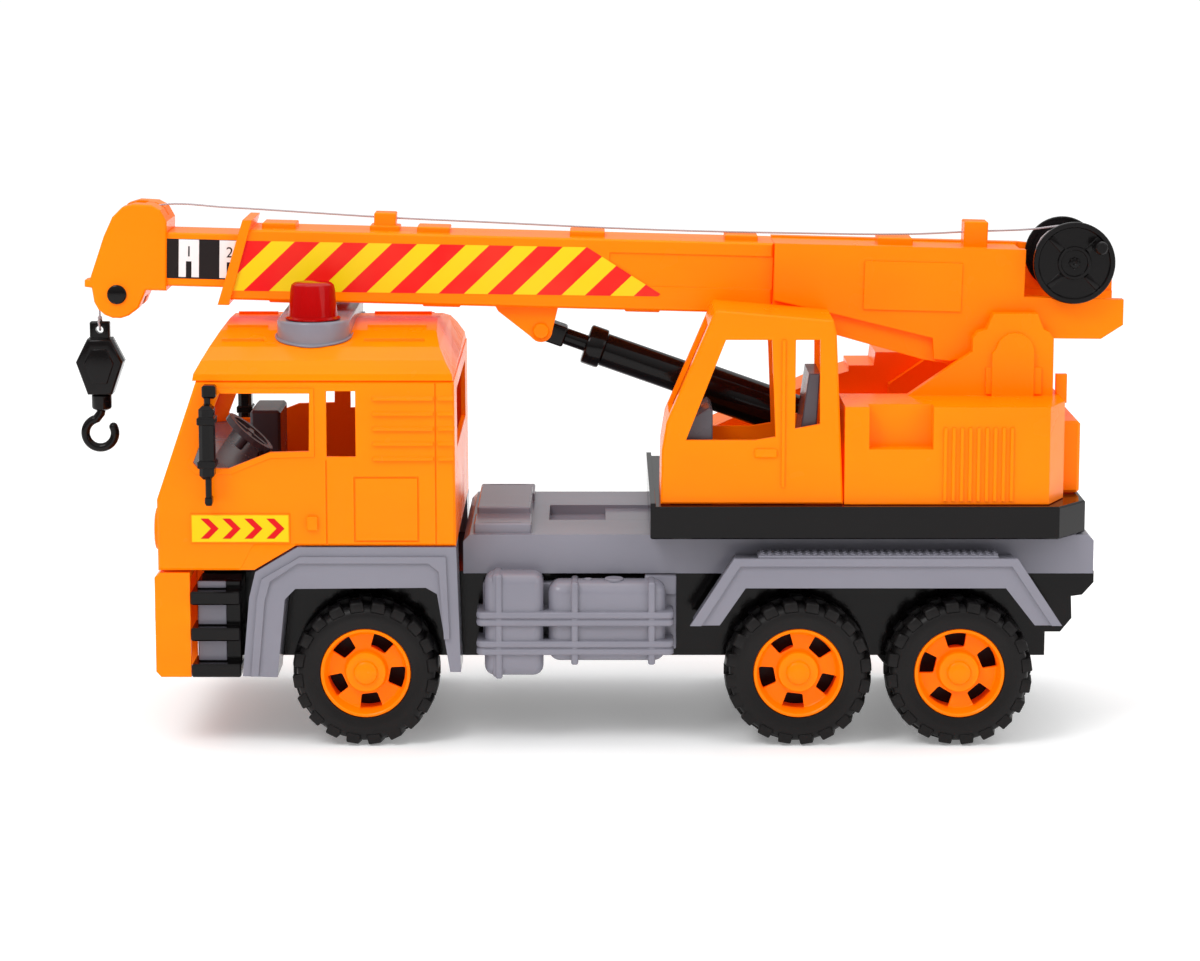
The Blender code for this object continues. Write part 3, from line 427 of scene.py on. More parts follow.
def cut(obj, shapes, where):
    """Takes shapes out of a piece with one exact Boolean, and applies it."""
    tool = bpy.data.objects.new("tool", mesh_of("tool", shapes, where))
    bpy.context.scene.collection.objects.link(tool)
    modifier = obj.modifiers.new("cut", "BOOLEAN")
    modifier.object = tool
    modifier.operation = "DIFFERENCE"
    modifier.solver = "EXACT"
    modifier.use_self = True
    graph = bpy.context.evaluated_depsgraph_get()
    done = bpy.data.meshes.new_from_object(obj.evaluated_get(graph))
    obj.modifiers.clear()
    obj.data = done
    bpy.data.objects.remove(tool)


def piece(name, look, slot, body, shapes, cuts=(), tilt=False, stands_for=(), sharp=35.0):
    """One visible piece: its mesh, its material, and the body that it rides on."""
    where = TILTED if tilt else LEVEL
    obj = bpy.data.objects.new(name, mesh_of(name, shapes, where))
    bpy.context.scene.collection.objects.link(obj)
    if cuts:
        cut(obj, cuts, where)
    obj.data.materials.clear()
    obj.data.materials.append(look)
    finish_mesh(obj, sharp)
    if stands_for:
        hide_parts(*stands_for)
    if body:
        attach(obj, body)
    return obj


def film(name, look, body, outline, y, thickness=0.15):
    """A thin printed film on both sides of the boom, drawn level and then tilted with it."""
    for hand, sign in SIDES:
        lo, hi = sorted((sign * y, sign * (y + thickness)))
        obj = bpy.data.objects.new(f"{name}_{hand}", mesh_of(name, [prism(outline, lo, hi)], LEVEL))
        bpy.context.scene.collection.objects.link(obj)
        obj.matrix_world = Matrix.Scale(MM, 4) @ TILTED @ Matrix.Scale(1 / MM, 4)
        obj.data.materials.append(look)
        finish_mesh(obj)
        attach(obj, body)


# ---------------------------------------------------------------- camera

LOOKING_DOWN = 9.35
camera = bpy.data.objects.new("camera", bpy.data.cameras.new("camera"))
camera.location = (0.002, -1.943, 0.450)
camera.rotation_euler = (math.radians(90 - LOOKING_DOWN), 0, 0)
camera.data.lens = 106.4
camera.data.sensor_width = 36
bpy.context.scene.collection.objects.link(camera)
bpy.context.scene.camera = camera

# ---------------------------------------------------------------- CAD pieces that keep their shape

LOOK_OF_SLOT = {
    "orange_plastic": ORANGE,
    "grey_plastic": GREY,
    "black_plastic": BLACK,
    "tyre_rubber": RUBBER,
    "red_lens": LENS,
    "rope": CORD,
    "steel": STEEL,
}
CABIN_FITTINGS = ("cab_interior", "steering_wheel", "operator_console", "operator_seat")
for entry in frame["record"]["subparts"]:
    node = frame["nodes"][entry["node"]]
    node.data.materials.clear()
    look = DARK_GREY if entry["node"] in CABIN_FITTINGS else LOOK_OF_SLOT[entry["material_slot"]]
    node.data.materials.append(look)
    finish_mesh(node, 30)

# ---------------------------------------------------------------- wheels


BLOCKS = 20
BLOCK_HALF = 4.1
BLOCK_FOOT_R = (34, 30.5)
BLOCK_SLANT = 1.5
BLOCK_TOP_SHARE = 0.86
CROWN_R = 36
SHOULDER_FROM = 0.75
SHOULDER_DROP = 1.4


def tread_block(row, turn, y0, y1):
    """One slanting tread block, worn round at the tyre's edges, turned to its place about the axle."""
    middle = sum(TYRE_Y) / 2
    block = box(-BLOCK_HALF, BLOCK_HALF, y0, y1, BLOCK_FOOT_R[row], WHEEL_R, 0.9, 2)
    for v in block.verts:
        edge = abs(v.co.y - middle) / (TYRE_Y[1] - middle)
        if v.co.z > CROWN_R:
            v.co.z -= SHOULDER_DROP * max(0.0, edge - SHOULDER_FROM) / (1 - SHOULDER_FROM)
            v.co.x *= BLOCK_TOP_SHARE
        v.co.x += BLOCK_SLANT * (1 if row else -1) * edge
    bmesh.ops.rotate(block, cent=(0, 0, 0), matrix=Matrix.Rotation(turn, 3, "Y"), verts=block.verts[:])
    return block


def tyre(where, x, hand, side):
    """A chunky tyre: two rows of staggered blocks on a carcass with rounded shoulders."""
    inner, outer = TYRE_Y
    middle = (inner + outer) / 2
    seat = RIM_R + 0.2
    carcass = [(0, inner + 0.2), (27, inner), (33, inner + 0.3), (35.8, inner + 1.8), (37, inner + 4)]
    carcass += [(37, outer - 4), (35.8, outer - 1.8), (33, outer - 0.3), (29, outer), (27, outer - 0.6)]
    carcass += [(seat, outer - 1), (seat, inner + 2.2), (0, inner + 2.2)]
    shapes = [turned([(r, side * h) for r, h in carcass], (x, AXLE_Z), "Y", 72)]
    for row, (y0, y1) in enumerate(((inner + 0.6, middle - 0.4), (middle + 0.4, outer - 0.6))):
        for k in range(BLOCKS):
            block = tread_block(row, 2 * math.pi * (k + 0.5 * row) / BLOCKS, y0, y1)
            for v in block.verts:
                v.co = Vector((v.co.x + x, side * v.co.y, v.co.z + AXLE_Z))
            bmesh.ops.recalc_face_normals(block, faces=block.faces[:])
            shapes.append(block)
    piece(f"{where}_tyre_skin_{hand}", RUBBER, "tyre_rubber", f"{where}_wheels", shapes,
          stands_for=[f"{where}_tyre_{hand}"])


WINDOWS = 5
HALF_WINDOW = [(12.6, 3.8), (13.2, 4.4), (19.9, 6.0), (20.4, 5.4)]
WINDOW = [(r, -w) for r, w in HALF_WINDOW] + [(20.9, 0)] + HALF_WINDOW[::-1]


def rim(where, x, hand, side):
    """A dished wheel disc with five windows, a raised hub and a domed cap."""
    seat = RIM_R - 0.1
    back = [(0, 64), (11, 64), (11, 76.4), (21.2, 76.4), (21.6, 64), (23.9, 64), (seat, 64.4)]
    flange = [(seat, 86.1), (23.9, 86.6), (23.0, 86.9), (22.2, 86.3), (21.6, 83.5), (20.6, 79.6)]
    disc = [(19.8, 79.0), (11.8, 79.0), (11.2, 79.6)]
    hub = [(10.9, 83.6), (10.5, 84.4), (9.7, 84.6), (6.6, 84.6)]
    dome = [(6.3, 85.0), (6.0, 86.2), (5.0, 86.9), (2.5, 87.3), (0, 87.4)]
    profile = back + flange + disc + hub + dome
    body = turned([(r, side * h) for r, h in profile], (x, AXLE_Z), "Y", 72)
    windows = []
    for k in range(WINDOWS):
        a = math.radians(WINDOW_TURN[where] + 360 / WINDOWS * k)
        c = math.cos(a)
        s = math.sin(a)
        corners = [(x + r * c - w * s, AXLE_Z + r * s + w * c) for r, w in WINDOW]
        windows.append(prism(corners, *sorted((side * 60, side * 90))))
    piece(f"{where}_rim_disc_{hand}", ORANGE, "orange_plastic", f"{where}_wheels", [body], windows,
          stands_for=[f"{where}_rim_{hand}"])


for where, axle_x in AXLES.items():
    for hand, side in SIDES:
        tyre(where, axle_x, hand, side)
        rim(where, axle_x, hand, side)

# ---------------------------------------------------------------- beacons and light bar

BAR_TOP = 226.8
BAR_HALF = 19.5
BAR_END_Y = 53.5
BEACON_Y = 57
for hand, side in SIDES:
    lens = [(0, BAR_TOP + 0.4), (14.6, BAR_TOP + 0.4), (14.9, BAR_TOP + 1.2), (13.2, 228.9), (12.9, 231.5)]
    lens += [(11.9, 243.2), (11.3, 245.6), (9.8, 246.7), (6, 247), (0, 247)]
    lamp = turned(lens, (BAR_X, side * BEACON_Y), "Z")
    piece(f"beacon_lens_{hand}", LENS, "red_lens", "truck", [lamp], stands_for=[f"beacon_{hand}"])


def on_roof(y):
    """Height of the crowned roof at a distance from the middle."""
    stations = ((0, 221.0), (40, 219.0), (72, 214.0), (86, 208.5))
    for (y0, z0), (y1, z1) in zip(stations, stations[1:]):
        if abs(y) <= y1:
            return z0 + (z1 - z0) * (abs(y) - y0) / (y1 - y0)
    return stations[-1][1]


def bar_outline(grow):
    """The light bar seen from above: straight sides and round ends."""
    found = []
    for centre_y, a0, a1 in ((-BAR_END_Y, 180, 360), (BAR_END_Y, 0, 180)):
        for u, v in arc((0, 0), BAR_HALF + grow, a0, a1, 24):
            found.append((BAR_X + u, centre_y + v))
    return found


def laid_on_roof(shape, level, reach=math.inf):
    """Moves a shape drawn over a flat roof at a level, up to a height, the reach, onto the crowned one."""
    for v in shape.verts:
        if v.co.z < reach:
            v.co.z += on_roof(v.co.y) - level
    return shape


bar = laid_on_roof(prism(bar_outline(0), 221, BAR_TOP, "Z", 1.3), 223.0, 223.4)
flange = laid_on_roof(prism(bar_outline(1.2), 221, 222.2, "Z", 0.4), 220.7)
piece("light_bar_shell", GREY, "grey_plastic", "truck", [bar, flange], stands_for=["light_bar_base"])

# ---------------------------------------------------------------- winch, sheave and cord

# Outlines of (radius, y), from the crank's end of the spool to its far end.
near_flange = [(0, -35.4), (1.2, -36.8), (2.6, -36.6), (2.9, -35.2), (7.0, -35.2), (7.3, -36.5)]
near_flange += [(8.8, -36.5), (9.1, -35.2), (18.9, -35.2), (19.6, -36.2), (21.6, -36.2), (22.1, -35.7)]
near_flange += [(22.1, -33.2), (21.6, -32.8), (11, -32.8)]
far_flange = [(11, 17.5), (20, 17.5), (20.5, 18), (20.5, 19.6), (20.1, 20), (4, 20), (4, 27), (0, 27)]
spool = [turned(near_flange + far_flange, DRUM, "Y", 80)]


def set_round(shape, degrees):
    """A shape drawn straight above the winch's axis, turned about it."""
    for v in shape.verts:
        v.co = Matrix.Rotation(math.radians(degrees), 3, "Y") @ v.co + Vector((DRUM[0], 0, DRUM[1]))
    return shape


SPOKES = 4
SPLINES = 8
for k in range(SPOKES):
    spool.append(set_round(box(-1.6, 1.6, -36.0, -34.6, 9.4, 18.8, 0.4, 2), 45 + 360 / SPOKES * k))
for k in range(SPLINES):
    spool.append(set_round(box(-0.35, 0.35, -36.9, -35, 2.4, 3.2, 0.1, 1), 360 / SPLINES * k))
piece("winch_spool", BLACK, "black_plastic", "winch", spool, tilt=True, stands_for=["winch_drum"])

KNOB = (268.9, 265.4)
knob = [(0, -52), (2.6, -52), (3.4, -51.2), (3.6, -50), (3.3, -44), (3.6, -38), (3.4, -37.1)]
knob += [(1.6, -37.1), (1.6, -34.3), (0, -34.3)]
piece("crank_grip", BLACK, "black_plastic", "winch", [turned(knob, KNOB, "Y", 40)], tilt=True,
      stands_for=["crank_knob"])

CORD_PITCH = 1.35
TURN_STEPS = 20
winding = []
layers = ((11.9, -32.0, 16.6, 1), (13.2, -31.4, 16.0, -1), (14.5, -32.0, 16.6, 1), (15.8, -31.4, 5.0, -1))
for radius, y0, y1, way in layers:
    steps = int((y1 - y0) / CORD_PITCH) * TURN_STEPS
    for i in range(steps + 1):
        a = 2 * math.pi * i / TURN_STEPS
        across = (y1 - y0) * i / steps
        y = y0 + across if way > 0 else y1 - across
        winding.append((DRUM[0] + radius * math.cos(a), y, DRUM[1] + radius * math.sin(a)))
piece("cord_winding", CORD, "rope", "winch", [swept(winding, 0.66, 6)], tilt=True,
      stands_for=["rope_coil"], sharp=80)

half_groove = [(3.3, 5), (12.9, 5), (13.3, 4.6), (13.2, 3.6), (11.9, 1.2)]
groove = [(r, -y) for r, y in half_groove] + [(11.6, 0)] + half_groove[::-1]
piece("head_pulley", BLACK, "black_plastic", "sheave", [turned(groove, SHEAVE, "Y", 56)], tilt=True,
      stands_for=["head_sheave"])
half_pin = [(0, 21.7), (4.4, 21.7), (5.2, 21.2), (5.3, 20.3), (3, 20.3)]
pin = [(r, -y) for r, y in half_pin] + half_pin[::-1]
piece("head_pin", BLACK, "black_plastic", "boom_tip", [turned(pin, SHEAVE, "Y", 40)], tilt=True,
      stands_for=["sheave_pin"])

route = arc(DRUM, 17.3, 76, 98, 3)
route += [(236.7, 270.2), (206, 268.2), (171, 265.8), (100, 264.6), (44, 264.4), (0, 264.9), (-60, 266.2)]
route += [(-117, 267.4), (-160, 269), (-204, 270.6), (-241, 270.9), (-256, 265)]
route += arc(SHEAVE, SHEAVE_ROPE_R, 150, 180, 4)


def smoothed(points, step):
    """Points about a step apart on a smooth curve through the given ones."""
    found = []
    for i in range(len(points) - 1):
        p0 = Vector(points[max(i - 1, 0)])
        p1, p2 = Vector(points[i]), Vector(points[i + 1])
        p3 = Vector(points[min(i + 2, len(points) - 1)])
        span = (p2 - p1).length
        reach = [max((b - a).length, 1e-6) for a, b in ((p0, p1), (p2, p3))]
        here = (p2 - p1) / span
        m1 = ((p1 - p0) / reach[0] if i else here) * 0.5 + here * 0.5
        m2 = ((p3 - p2) / reach[1] if i < len(points) - 2 else here) * 0.5 + here * 0.5
        count = max(1, round(span / step))
        for k in range(count):
            t = k / count
            h = (2 * t**3 - 3 * t**2 + 1) * p1 + (t**3 - 2 * t**2 + t) * span * m1
            h += (3 * t**2 - 2 * t**3) * p2 + (t**3 - t**2) * span * m2
            found.append(h)
    found.append(Vector(points[-1]))
    return found


path = [(p.x, 0, p.y) for p in smoothed(route, 3.0)]
hoist = piece("hoist_cord", CORD, "rope", None, [swept(path, ROPE_R, 8)], tilt=True,
              stands_for=["hoist_rope"], sharp=80)
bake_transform(hoist)

sheave_x, sheave_z = on_tilt(*SHEAVE)
drop = [(x, 0, z) for x, z in arc((sheave_x, sheave_z), SHEAVE_ROPE_R, 130, 180, 8)]
drop += [(sheave_x - SHEAVE_ROPE_R, 0, sheave_z - 0.8 - k) for k in range(0, 16)]
fall = piece("hoist_cord_fall", CORD, "rope", None, [swept(drop, ROPE_R, 8)],
             stands_for=["hoist_rope_fall"], sharp=80)
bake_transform(fall)
LOOP_Z = 217.3
LOOP_POINTS = 28
loop = []
for i in range(LOOP_POINTS):
    a = 2 * math.pi * i / LOOP_POINTS
    loop.append((HOOK_X + 0.4 * math.sin(2 * a), 3.3 * math.sin(a), LOOP_Z + 3.1 * math.cos(a)))
knot = turned([(0, 219.4), (1.1, 219.9), (1.3, 220.9), (0.9, 221.9), (0, 222.2)], (HOOK_X, 0), "Z", 20)
piece("hook_cord_loop", CORD, "rope", "hook_block", [swept(loop, 0.6, 8, closed=True), knot], sharp=80)

# ---------------------------------------------------------------- hook block and hook

block = [(-6.5, 209.8), (-12.94, 197), (-6.7, 179), (6.7, 179), (12.94, 197), (6.5, 209.8)]
block = [(HOOK_X + x, z) for x, z in block]


def scaled(points, centre, share):
    """An outline made smaller about a centre."""
    return [(centre[0] + (x - centre[0]) * share, centre[1] + (z - centre[1]) * share) for x, z in points]


CHEEK_SHARE = 0.62
BLOCK_MIDDLE = (HOOK_X, 195.5)
block_shapes = [prism(block, -7.5, 7.5, bevel=1.4)]
block_shapes.append(box(HOOK_X - 5.5, HOOK_X + 5.5, -2.6, 2.6, 206, 219, 0.9))
for lo, hi in ((-8.2, -6), (6, 8.2)):
    block_shapes.append(prism(scaled(block, BLOCK_MIDDLE, CHEEK_SHARE), lo, hi, bevel=0.5))
eye = [turned([(0, -5), (2.1, -5), (2.1, 5), (0, 5)], (HOOK_X, 214.6), "Y", 24)]
piece("hook_block_body", BLACK, "black_plastic", "hook_block", block_shapes, eye, stands_for=["hook_block"])

HOOK_CENTRE = (HOOK_X - 1.2, 156.8)
HOOK_R = 8.15
HOOK_BAR_R = 2.45
bend = [(HOOK_X, 173), (HOOK_X - 0.2, 170.5), (HOOK_X - 0.6, 168)] + arc(HOOK_CENTRE, HOOK_R, 104, 385, 40)
shank = [(0, 169.6), (3.4, 169.6), (5.1, 170.6), (5.5, 171.6), (5.5, 177.8), (5.0, 178.5), (3, 178.6)]
shank += [(3, 190), (0, 190)]
hook_shapes = [turned(shank, (HOOK_X, 0), "Z", 40), swept([(x, 0, z) for x, z in bend], HOOK_BAR_R, 16)]
tip_x, tip_z = bend[-1]
tip = bmesh.new()
bmesh.ops.create_uvsphere(tip, u_segments=20, v_segments=12, radius=HOOK_BAR_R)
bmesh.ops.translate(tip, vec=(tip_x, 0, tip_z), verts=tip.verts[:])
piece("hook_bend", BLACK, "black_plastic", "hook", hook_shapes + [tip], stands_for=["hook"])

# ---------------------------------------------------------------- lifting cylinder

slope = math.atan2(LUG[1] - FOOT[1], FOOT[0] - LUG[0])
distance = math.hypot(FOOT[0] - LUG[0], FOOT[1] - LUG[1])
ALONG = Matrix.Translation(Vector((LUG[0], 0, LUG[1]))) @ Matrix.Rotation(slope, 4, "Y")


def along(shape):
    """A shape drawn along X from the boom's lug, laid on the line from the lug to the cylinder's foot."""
    bmesh.ops.transform(shape, matrix=ALONG, verts=shape.verts[:])
    return shape


ram = [(0, 8), (4.6, 8), (4.6, 158), (0, 158)]
ram_shapes = [along(turned(ram, axis="X", steps=40)), along(box(-5.6, 14, -9, 9, -5.6, 5.6, 1.3))]
ram_bore = turned([(0, -12), (2.8, -12), (2.8, 12), (0, 12)], LUG, "Y", 32)
piece("cylinder_ram", BLACK, "black_plastic", "cylinder_rod", ram_shapes, [ram_bore],
      stands_for=["cylinder_rod"])
sleeve = [(0, 26), (9.6, 26), (10.6, 26.4), (11, 27.2), (11, 35), (10.7, 35.9), (9.2, 36.6), (9.2, 82)]
sleeve += [(11.4, 83.6), (12, 85), (12, 170), (11.2, 202), (10.6, 204), (0, 204)]
foot_eye = along(box(200, distance + 7.8, -4.5, 4.5, -7.7, 7.7, 1.6))
sleeve_bore = along(turned([(0, 20), (5.0, 20), (5.0, 198), (0, 198)], axis="X", steps=32))
foot_bore = turned([(0, -8), (5.7, -8), (5.7, 8), (0, 8)], FOOT, "Y", 32)
sleeve_shapes = [along(turned(sleeve, axis="X", steps=48)), foot_eye]
piece("cylinder_sleeve", BLACK, "black_plastic", "cylinder_barrel", sleeve_shapes, [sleeve_bore, foot_bore],
      stands_for=["cylinder_barrel"])
LEVEL_LUG = (-30.42, 208.8)
lug_cap = []
for sign in (-1, 1):
    cap = [(0, sign * 15.2), (4.4, sign * 15.2), (4.4, sign * 17.0), (3.8, sign * 17.6), (0, sign * 17.8)]
    lug_cap.append(turned(cap, LEVEL_LUG, "Y", 32))
piece("lug_caps", ORANGE, "orange_plastic", "boom", lug_cap, tilt=True)

# ---------------------------------------------------------------- side tanks


def rounded_box(x0, x1, y0, y1, z0, z1, radius):
    """A box with widely rounded edges."""
    return box(x0, x1, y0, y1, z0, z1, radius, 6)


def rail_outline(x0, x1, y0, y1, radius):
    """A rail seen from above: straight, with its two outer corners rounded."""
    found = [(x0, y1), *arc((x0 + radius, y0 + radius), radius, 180, 270, 6)]
    return found + [*arc((x1 - radius, y0 + radius), radius, 270, 360, 6), (x1, y1)]


for hand, side in SIDES:
    # A back plate and its raised end, two tanks with a strap and ribs, pairs of rails with a web, two caps.
    parts = [box(-61, 43, -72, -60.4, 50, 86, 0.8), box(26, 43, -74, -60.4, 80, 90.4, 0.8)]
    parts.append(rounded_box(-59.7, -28.2, -90, -69, 38.6, 94, 5.5))
    parts.append(rounded_box(-25.7, 37.1, -89, -69, 46.2, 89.4, 6.5))
    parts.append(rounded_box(-55.5, -50.2, -90.6, -69, 38.2, 94.4, 2.0))
    for x, z0, z1 in ((-52, 37.6, 94), (-11.5, 45.2, 90), (29.5, 45.2, 90)):
        parts.append(box(x - 1.9, x + 1.9, -91.4, -70, z0, z1, 1.2, 4))
    for top in (73.9, 58.2):
        for z0, z1 in ((top - 3.6, top), (top - 7.6, top - 4.1)):
            parts.append(prism(rail_outline(-64, 41.4, -92, -66, 4.0), z0, z1, "Z", 1.2, 4))
        parts.append(prism(rail_outline(-63.2, 40.6, -91, -66, 3.4), top - 5, top - 2.8, "Z"))
    cap = [(0, 86), (4.2, 86), (4.2, 89), (5, 89.2), (5.1, 90.2), (4.7, 90.6), (0, 90.7)]
    parts.append(turned(cap, (9.5, -80), "Z", 40))
    parts.append(turned([(0, 88), (2.2, 88), (2.2, 89.9), (1.8, 90.2), (0, 90.3)], (-4.5, -79), "Z", 32))
    if side > 0:
        parts = [mirrored(p) for p in parts]
    piece(f"side_tank_body_{hand}", GREY, "grey_plastic", "truck", parts, stands_for=[f"side_tank_{hand}"])

# ---------------------------------------------------------------- small moulded details

# Orange below the cab's side behind the arch, and grey behind the gaps between the steps.
STEP_GAPS = ((46.6, 58.3), (66.2, 77.9), (86.0, 89.8))
for hand, side in SIDES:
    lo, hi = sorted((side * 90.6, side * 92.8))
    skirt = [(-190, 97.2), (-181.4, 97.2), (-159.4, 110.3), (-160, 112), (-183, 112)]
    piece(f"cab_skirt_{hand}", ORANGE, "orange_plastic", "truck", [prism(skirt, lo, hi, bevel=0.3)])
    lo, hi = sorted((side * 83.6, side * 86.0))
    backing = [box(-212.6, -197.5, lo, hi, z0, z1, 0.6) for z0, z1 in STEP_GAPS]
    piece(f"step_backing_{hand}", GREY, "grey_plastic", "truck", backing)

WING_TOP = 104.4
STUD_ROWS = 5
STUDS = 32
FIRST_STUD = (88.5, 75)
STUD_PITCH = (4, 3.4)
# Radius, y, z and the x of the bumper's or the cab's front behind the glass.
LAMPS = ((9.6, 72, 116, -235.6), (6.2, 46, 68, -236.8), (6.2, 66, 68, -236.8))


def wing_tread(side):
    """Rows of small slanting studs on top of a rear mudguard, in a herringbone."""
    studs = []
    for row in range(STUD_ROWS):
        for k in range(STUDS):
            stud = box(-1.5, 1.5, -0.55, 0.55, WING_TOP - 0.1, WING_TOP + 0.7, 0.3, 1)
            lean = Matrix.Rotation(math.radians(45 if (k + row) % 2 else -45), 3, "Z")
            bmesh.ops.rotate(stud, cent=(0, 0, 0), matrix=lean, verts=stud.verts[:])
            x = FIRST_STUD[0] + STUD_PITCH[0] * k
            y = FIRST_STUD[1] + STUD_PITCH[1] * row
            bmesh.ops.translate(stud, vec=(x, side * y, 0), verts=stud.verts[:])
            studs.append(stud)
    return studs


def lamp_glasses(side):
    """Shallow domes over the headlamp and the two bumper lamps of one side."""
    glasses = []
    for radius, y, z, front in LAMPS:
        dome = [(0, front + 0.5), (radius, front + 0.5), (radius, front), (radius * 0.8, front - 0.9)]
        dome += [(radius * 0.45, front - 1.4), (0, front - 1.6)]
        glasses.append(turned(dome, (side * y, z), "X", 48))
    return glasses


for hand, side in SIDES:
    piece(f"wing_tread_{hand}", GREY, "grey_plastic", "truck", wing_tread(side))
    piece(f"lamp_glasses_{hand}", CLEAR, "grey_plastic", "truck", lamp_glasses(side))

# ---------------------------------------------------------------- printed films

sticker = [(-191.9, 254.7), (-200.2, 227.3), (32.9, 230.2), (34.3, 231.5), (-6.3, 256.0)]
film("hazard_film", HAZARD, "boom", sticker, BOOM_SIDE)
scale = [(-243.6, 232.8), (-238.0, 254.4), (38, 254.9), (38, 232.8)]
film("scale_film", FILM_BLACK, "boom_tip", scale, INNER_BOOM_SIDE, 0.1)
SCALE_START = -228.5
SCALE_FOOT = 233.6
BAND = 11.1
BAND_TOP = 254.2
BANDS = 9
TICK = (4, 7)
TICK_TOP = 242.3
NUMERAL_HEIGHT = 8.2
NUMERAL_Z = 247.4


def numeral(text, hand, side, x, y):
    """A printed figure on the scale, read from its own side."""
    data = bpy.data.curves.new("numeral", "FONT")
    data.body = text
    data.size = NUMERAL_HEIGHT
    data.align_x = "CENTER"
    data.align_y = "CENTER"
    data.extrude = 0.04
    data.resolution_u = 6
    obj = bpy.data.objects.new(f"numeral_{text}_{hand}", data)
    bpy.context.scene.collection.objects.link(obj)
    graph = bpy.context.evaluated_depsgraph_get()
    mesh = bpy.data.meshes.new_from_object(obj.evaluated_get(graph))
    bpy.data.objects.remove(obj)
    obj = bpy.data.objects.new(f"numeral_{text}_{hand}", mesh)
    bpy.context.scene.collection.objects.link(obj)
    stand = Matrix.Rotation(math.radians(90), 4, "X")
    if side > 0:
        stand = Matrix.Rotation(math.pi, 4, "Z") @ stand
    spot = Matrix.Translation(Vector((x, side * y, NUMERAL_Z)))
    obj.matrix_world = Matrix.Scale(MM, 4) @ TILTED @ spot @ stand
    obj.data.materials.append(FILM_BLACK)
    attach(obj, "boom_tip")


def upright(x0, x1, z0, z1):
    """A rectangle on the side of the boom."""
    return [(x0, z0), (x0, z1), (x1, z1), (x1, z0)]


for k in range(BANDS):
    x0 = SCALE_START + 2 * BAND * k
    film(f"scale_band_{k + 1}", FILM_WHITE, "boom_tip",
         upright(x0, x0 + BAND, SCALE_FOOT, BAND_TOP), INNER_BOOM_SIDE + 0.08, 0.08)
    for hand, side in SIDES:
        numeral(str(k + 1), hand, side, x0 + BAND / 2, INNER_BOOM_SIDE + 0.22)
    film(f"scale_tick_{k + 1}", FILM_BLACK, "boom_tip",
         upright(x0 + TICK[0], x0 + TICK[1], SCALE_FOOT, TICK_TOP), INNER_BOOM_SIDE + 0.18, 0.05)

LABEL_MIDDLE = 119.7
CHEVRONS = 4
FIRST_CHEVRON = -209.5
CHEVRON_PITCH = 11.6
CHEVRON_HALF = 5.4
CHEVRON_WIDTH = 4.2
for hand, side in SIDES:
    lo, hi = sorted((side * CAB_SIDE, side * (CAB_SIDE + 0.14)))
    plate = prism(upright(-214.2, -162.9, 112.5, 126.9), lo, hi)
    piece(f"cab_label_{hand}", FILM_YELLOW, "orange_plastic", "truck", [plate])
    lo, hi = sorted((side * (CAB_SIDE + 0.16), side * (CAB_SIDE + 0.26)))
    chevrons = []
    for k in range(CHEVRONS):
        x = FIRST_CHEVRON + CHEVRON_PITCH * k
        foot = LABEL_MIDDLE - CHEVRON_HALF
        top = LABEL_MIDDLE + CHEVRON_HALF
        front = [(x, foot), (x + CHEVRON_HALF, LABEL_MIDDLE), (x, top)]
        chevrons.append(prism(front + [(u + CHEVRON_WIDTH, v) for u, v in front[::-1]], lo, hi))
    piece(f"cab_label_marks_{hand}", FILM_RED, "orange_plastic", "truck", chevrons)

# ---------------------------------------------------------------- floor and light


def area(name, where, look_at, size, power):
    """A round soft light, given where it stands and what it faces."""
    data = bpy.data.lights.new(name, "AREA")
    data.shape = "DISK"
    data.size = size
    data.energy = power
    light = bpy.data.objects.new(name, data)
    light.location = where
    light.rotation_euler = (Vector(look_at) - Vector(where)).to_track_quat("-Z", "Y").to_euler()
    bpy.context.scene.collection.objects.link(light)


HORIZON_LIGHT = 0.22
ZENITH_LIGHT = 1.25
ZENITH_FROM = 0.8
FLOOR_R = 40.0


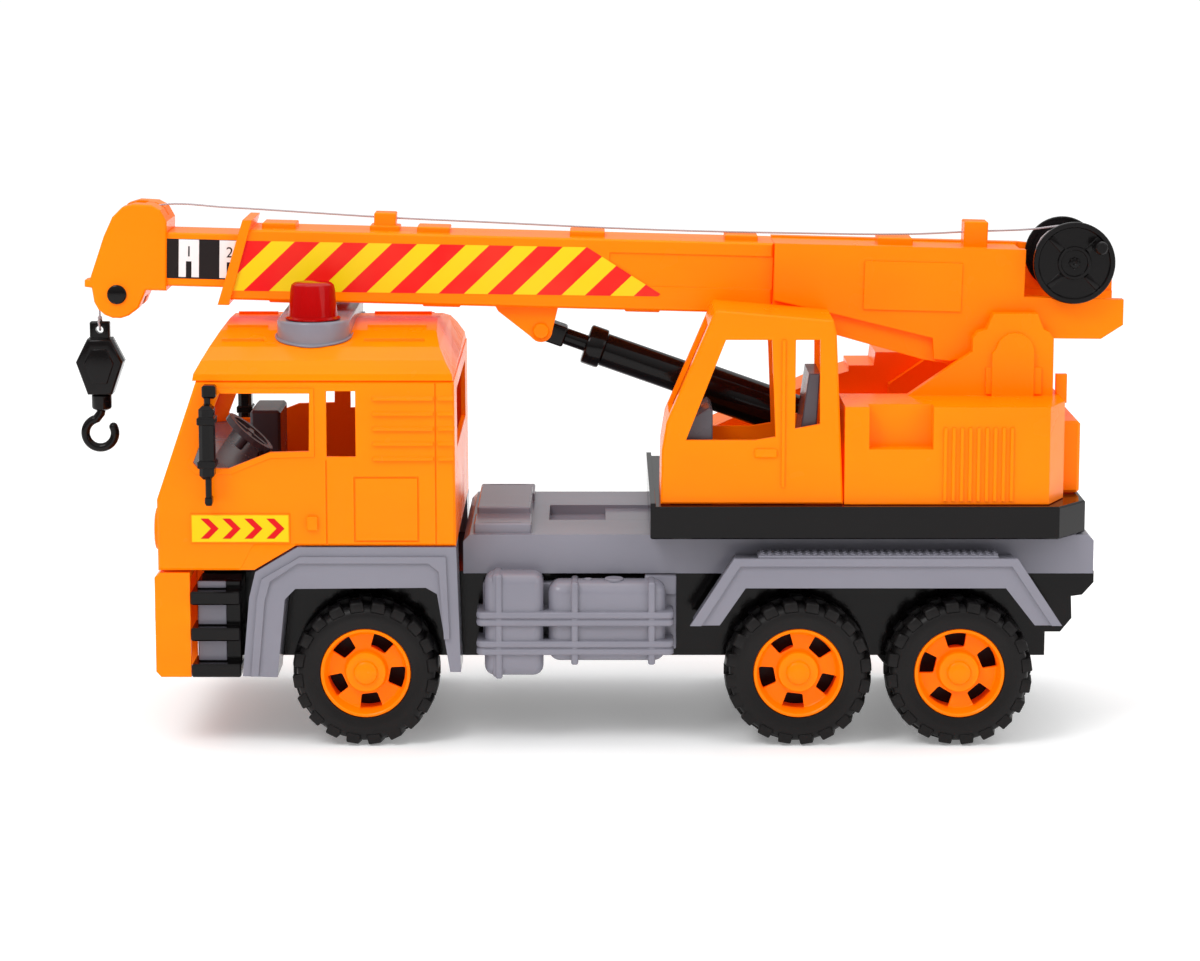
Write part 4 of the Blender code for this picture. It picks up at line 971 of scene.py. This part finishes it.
def studio_world():
    """A white surround: bright above, dim near the floor, and plain white where the camera sees it."""
    world = bpy.data.worlds.new("studio")
    world.use_nodes = True
    sky = world.node_tree
    background = sky.nodes["Background"]
    background.inputs["Color"].default_value = (1, 1, 1, 1)
    direction = sky.nodes.new("ShaderNodeTexCoord")
    height = sky.nodes.new("ShaderNodeSeparateXYZ")
    brightness = sky.nodes.new("ShaderNodeMapRange")
    brightness.inputs["From Min"].default_value = 0.0
    brightness.inputs["From Max"].default_value = ZENITH_FROM
    brightness.inputs["To Min"].default_value = HORIZON_LIGHT
    brightness.inputs["To Max"].default_value = ZENITH_LIGHT
    sky.links.new(direction.outputs["Generated"], height.inputs["Vector"])
    sky.links.new(height.outputs["Z"], brightness.inputs["Value"])
    backdrop = sky.nodes.new("ShaderNodeMath")
    backdrop.operation = "MAXIMUM"
    sky.links.new(brightness.outputs["Result"], backdrop.inputs[0])
    sky.links.new(sky.nodes.new("ShaderNodeLightPath").outputs["Is Camera Ray"], backdrop.inputs[1])
    sky.links.new(backdrop.outputs[0], background.inputs["Strength"])
    bpy.context.scene.world = world


def paper():
    """White card, faintly cloudy, and bright enough of itself to wash shadows out as a studio table does."""
    n = Nodes("paper")
    cloud = n.spread(n.noise(2.0), 0, 1)
    n.link(n.blend_colours(cloud, (0.93, 0.93, 0.93), (0.91, 0.91, 0.91)), n.shader.inputs["Base Color"])
    n.shader.inputs["Roughness"].default_value = 0.35
    n.shader.inputs["Specular IOR Level"].default_value = 0.1
    n.shader.inputs["Emission Color"].default_value = (1, 1, 1, 1)
    n.shader.inputs["Emission Strength"].default_value = 0.2
    return n.material


studio_world()
bpy.context.scene.view_settings.view_transform = "Standard"
area("key", (-0.9, -1.3, 1.7), (0, 0, 0.12), 0.9, 16)
area("fill", (1.5, -1.2, 0.9), (0, 0, 0.12), 1.2, 6)
area("top", (0, 0.3, 1.9), (0, 0, 0.1), 1.4, 5)

floor = bpy.data.objects.new("floor", bpy.data.meshes.new("floor"))
bm = bmesh.new()
bmesh.ops.create_circle(bm, cap_ends=True, segments=96, radius=FLOOR_R)
bm.to_mesh(floor.data)
bm.free()
floor.data.materials.append(paper())
floor.location.z = -0.0002
bpy.context.scene.collection.objects.link(floor)
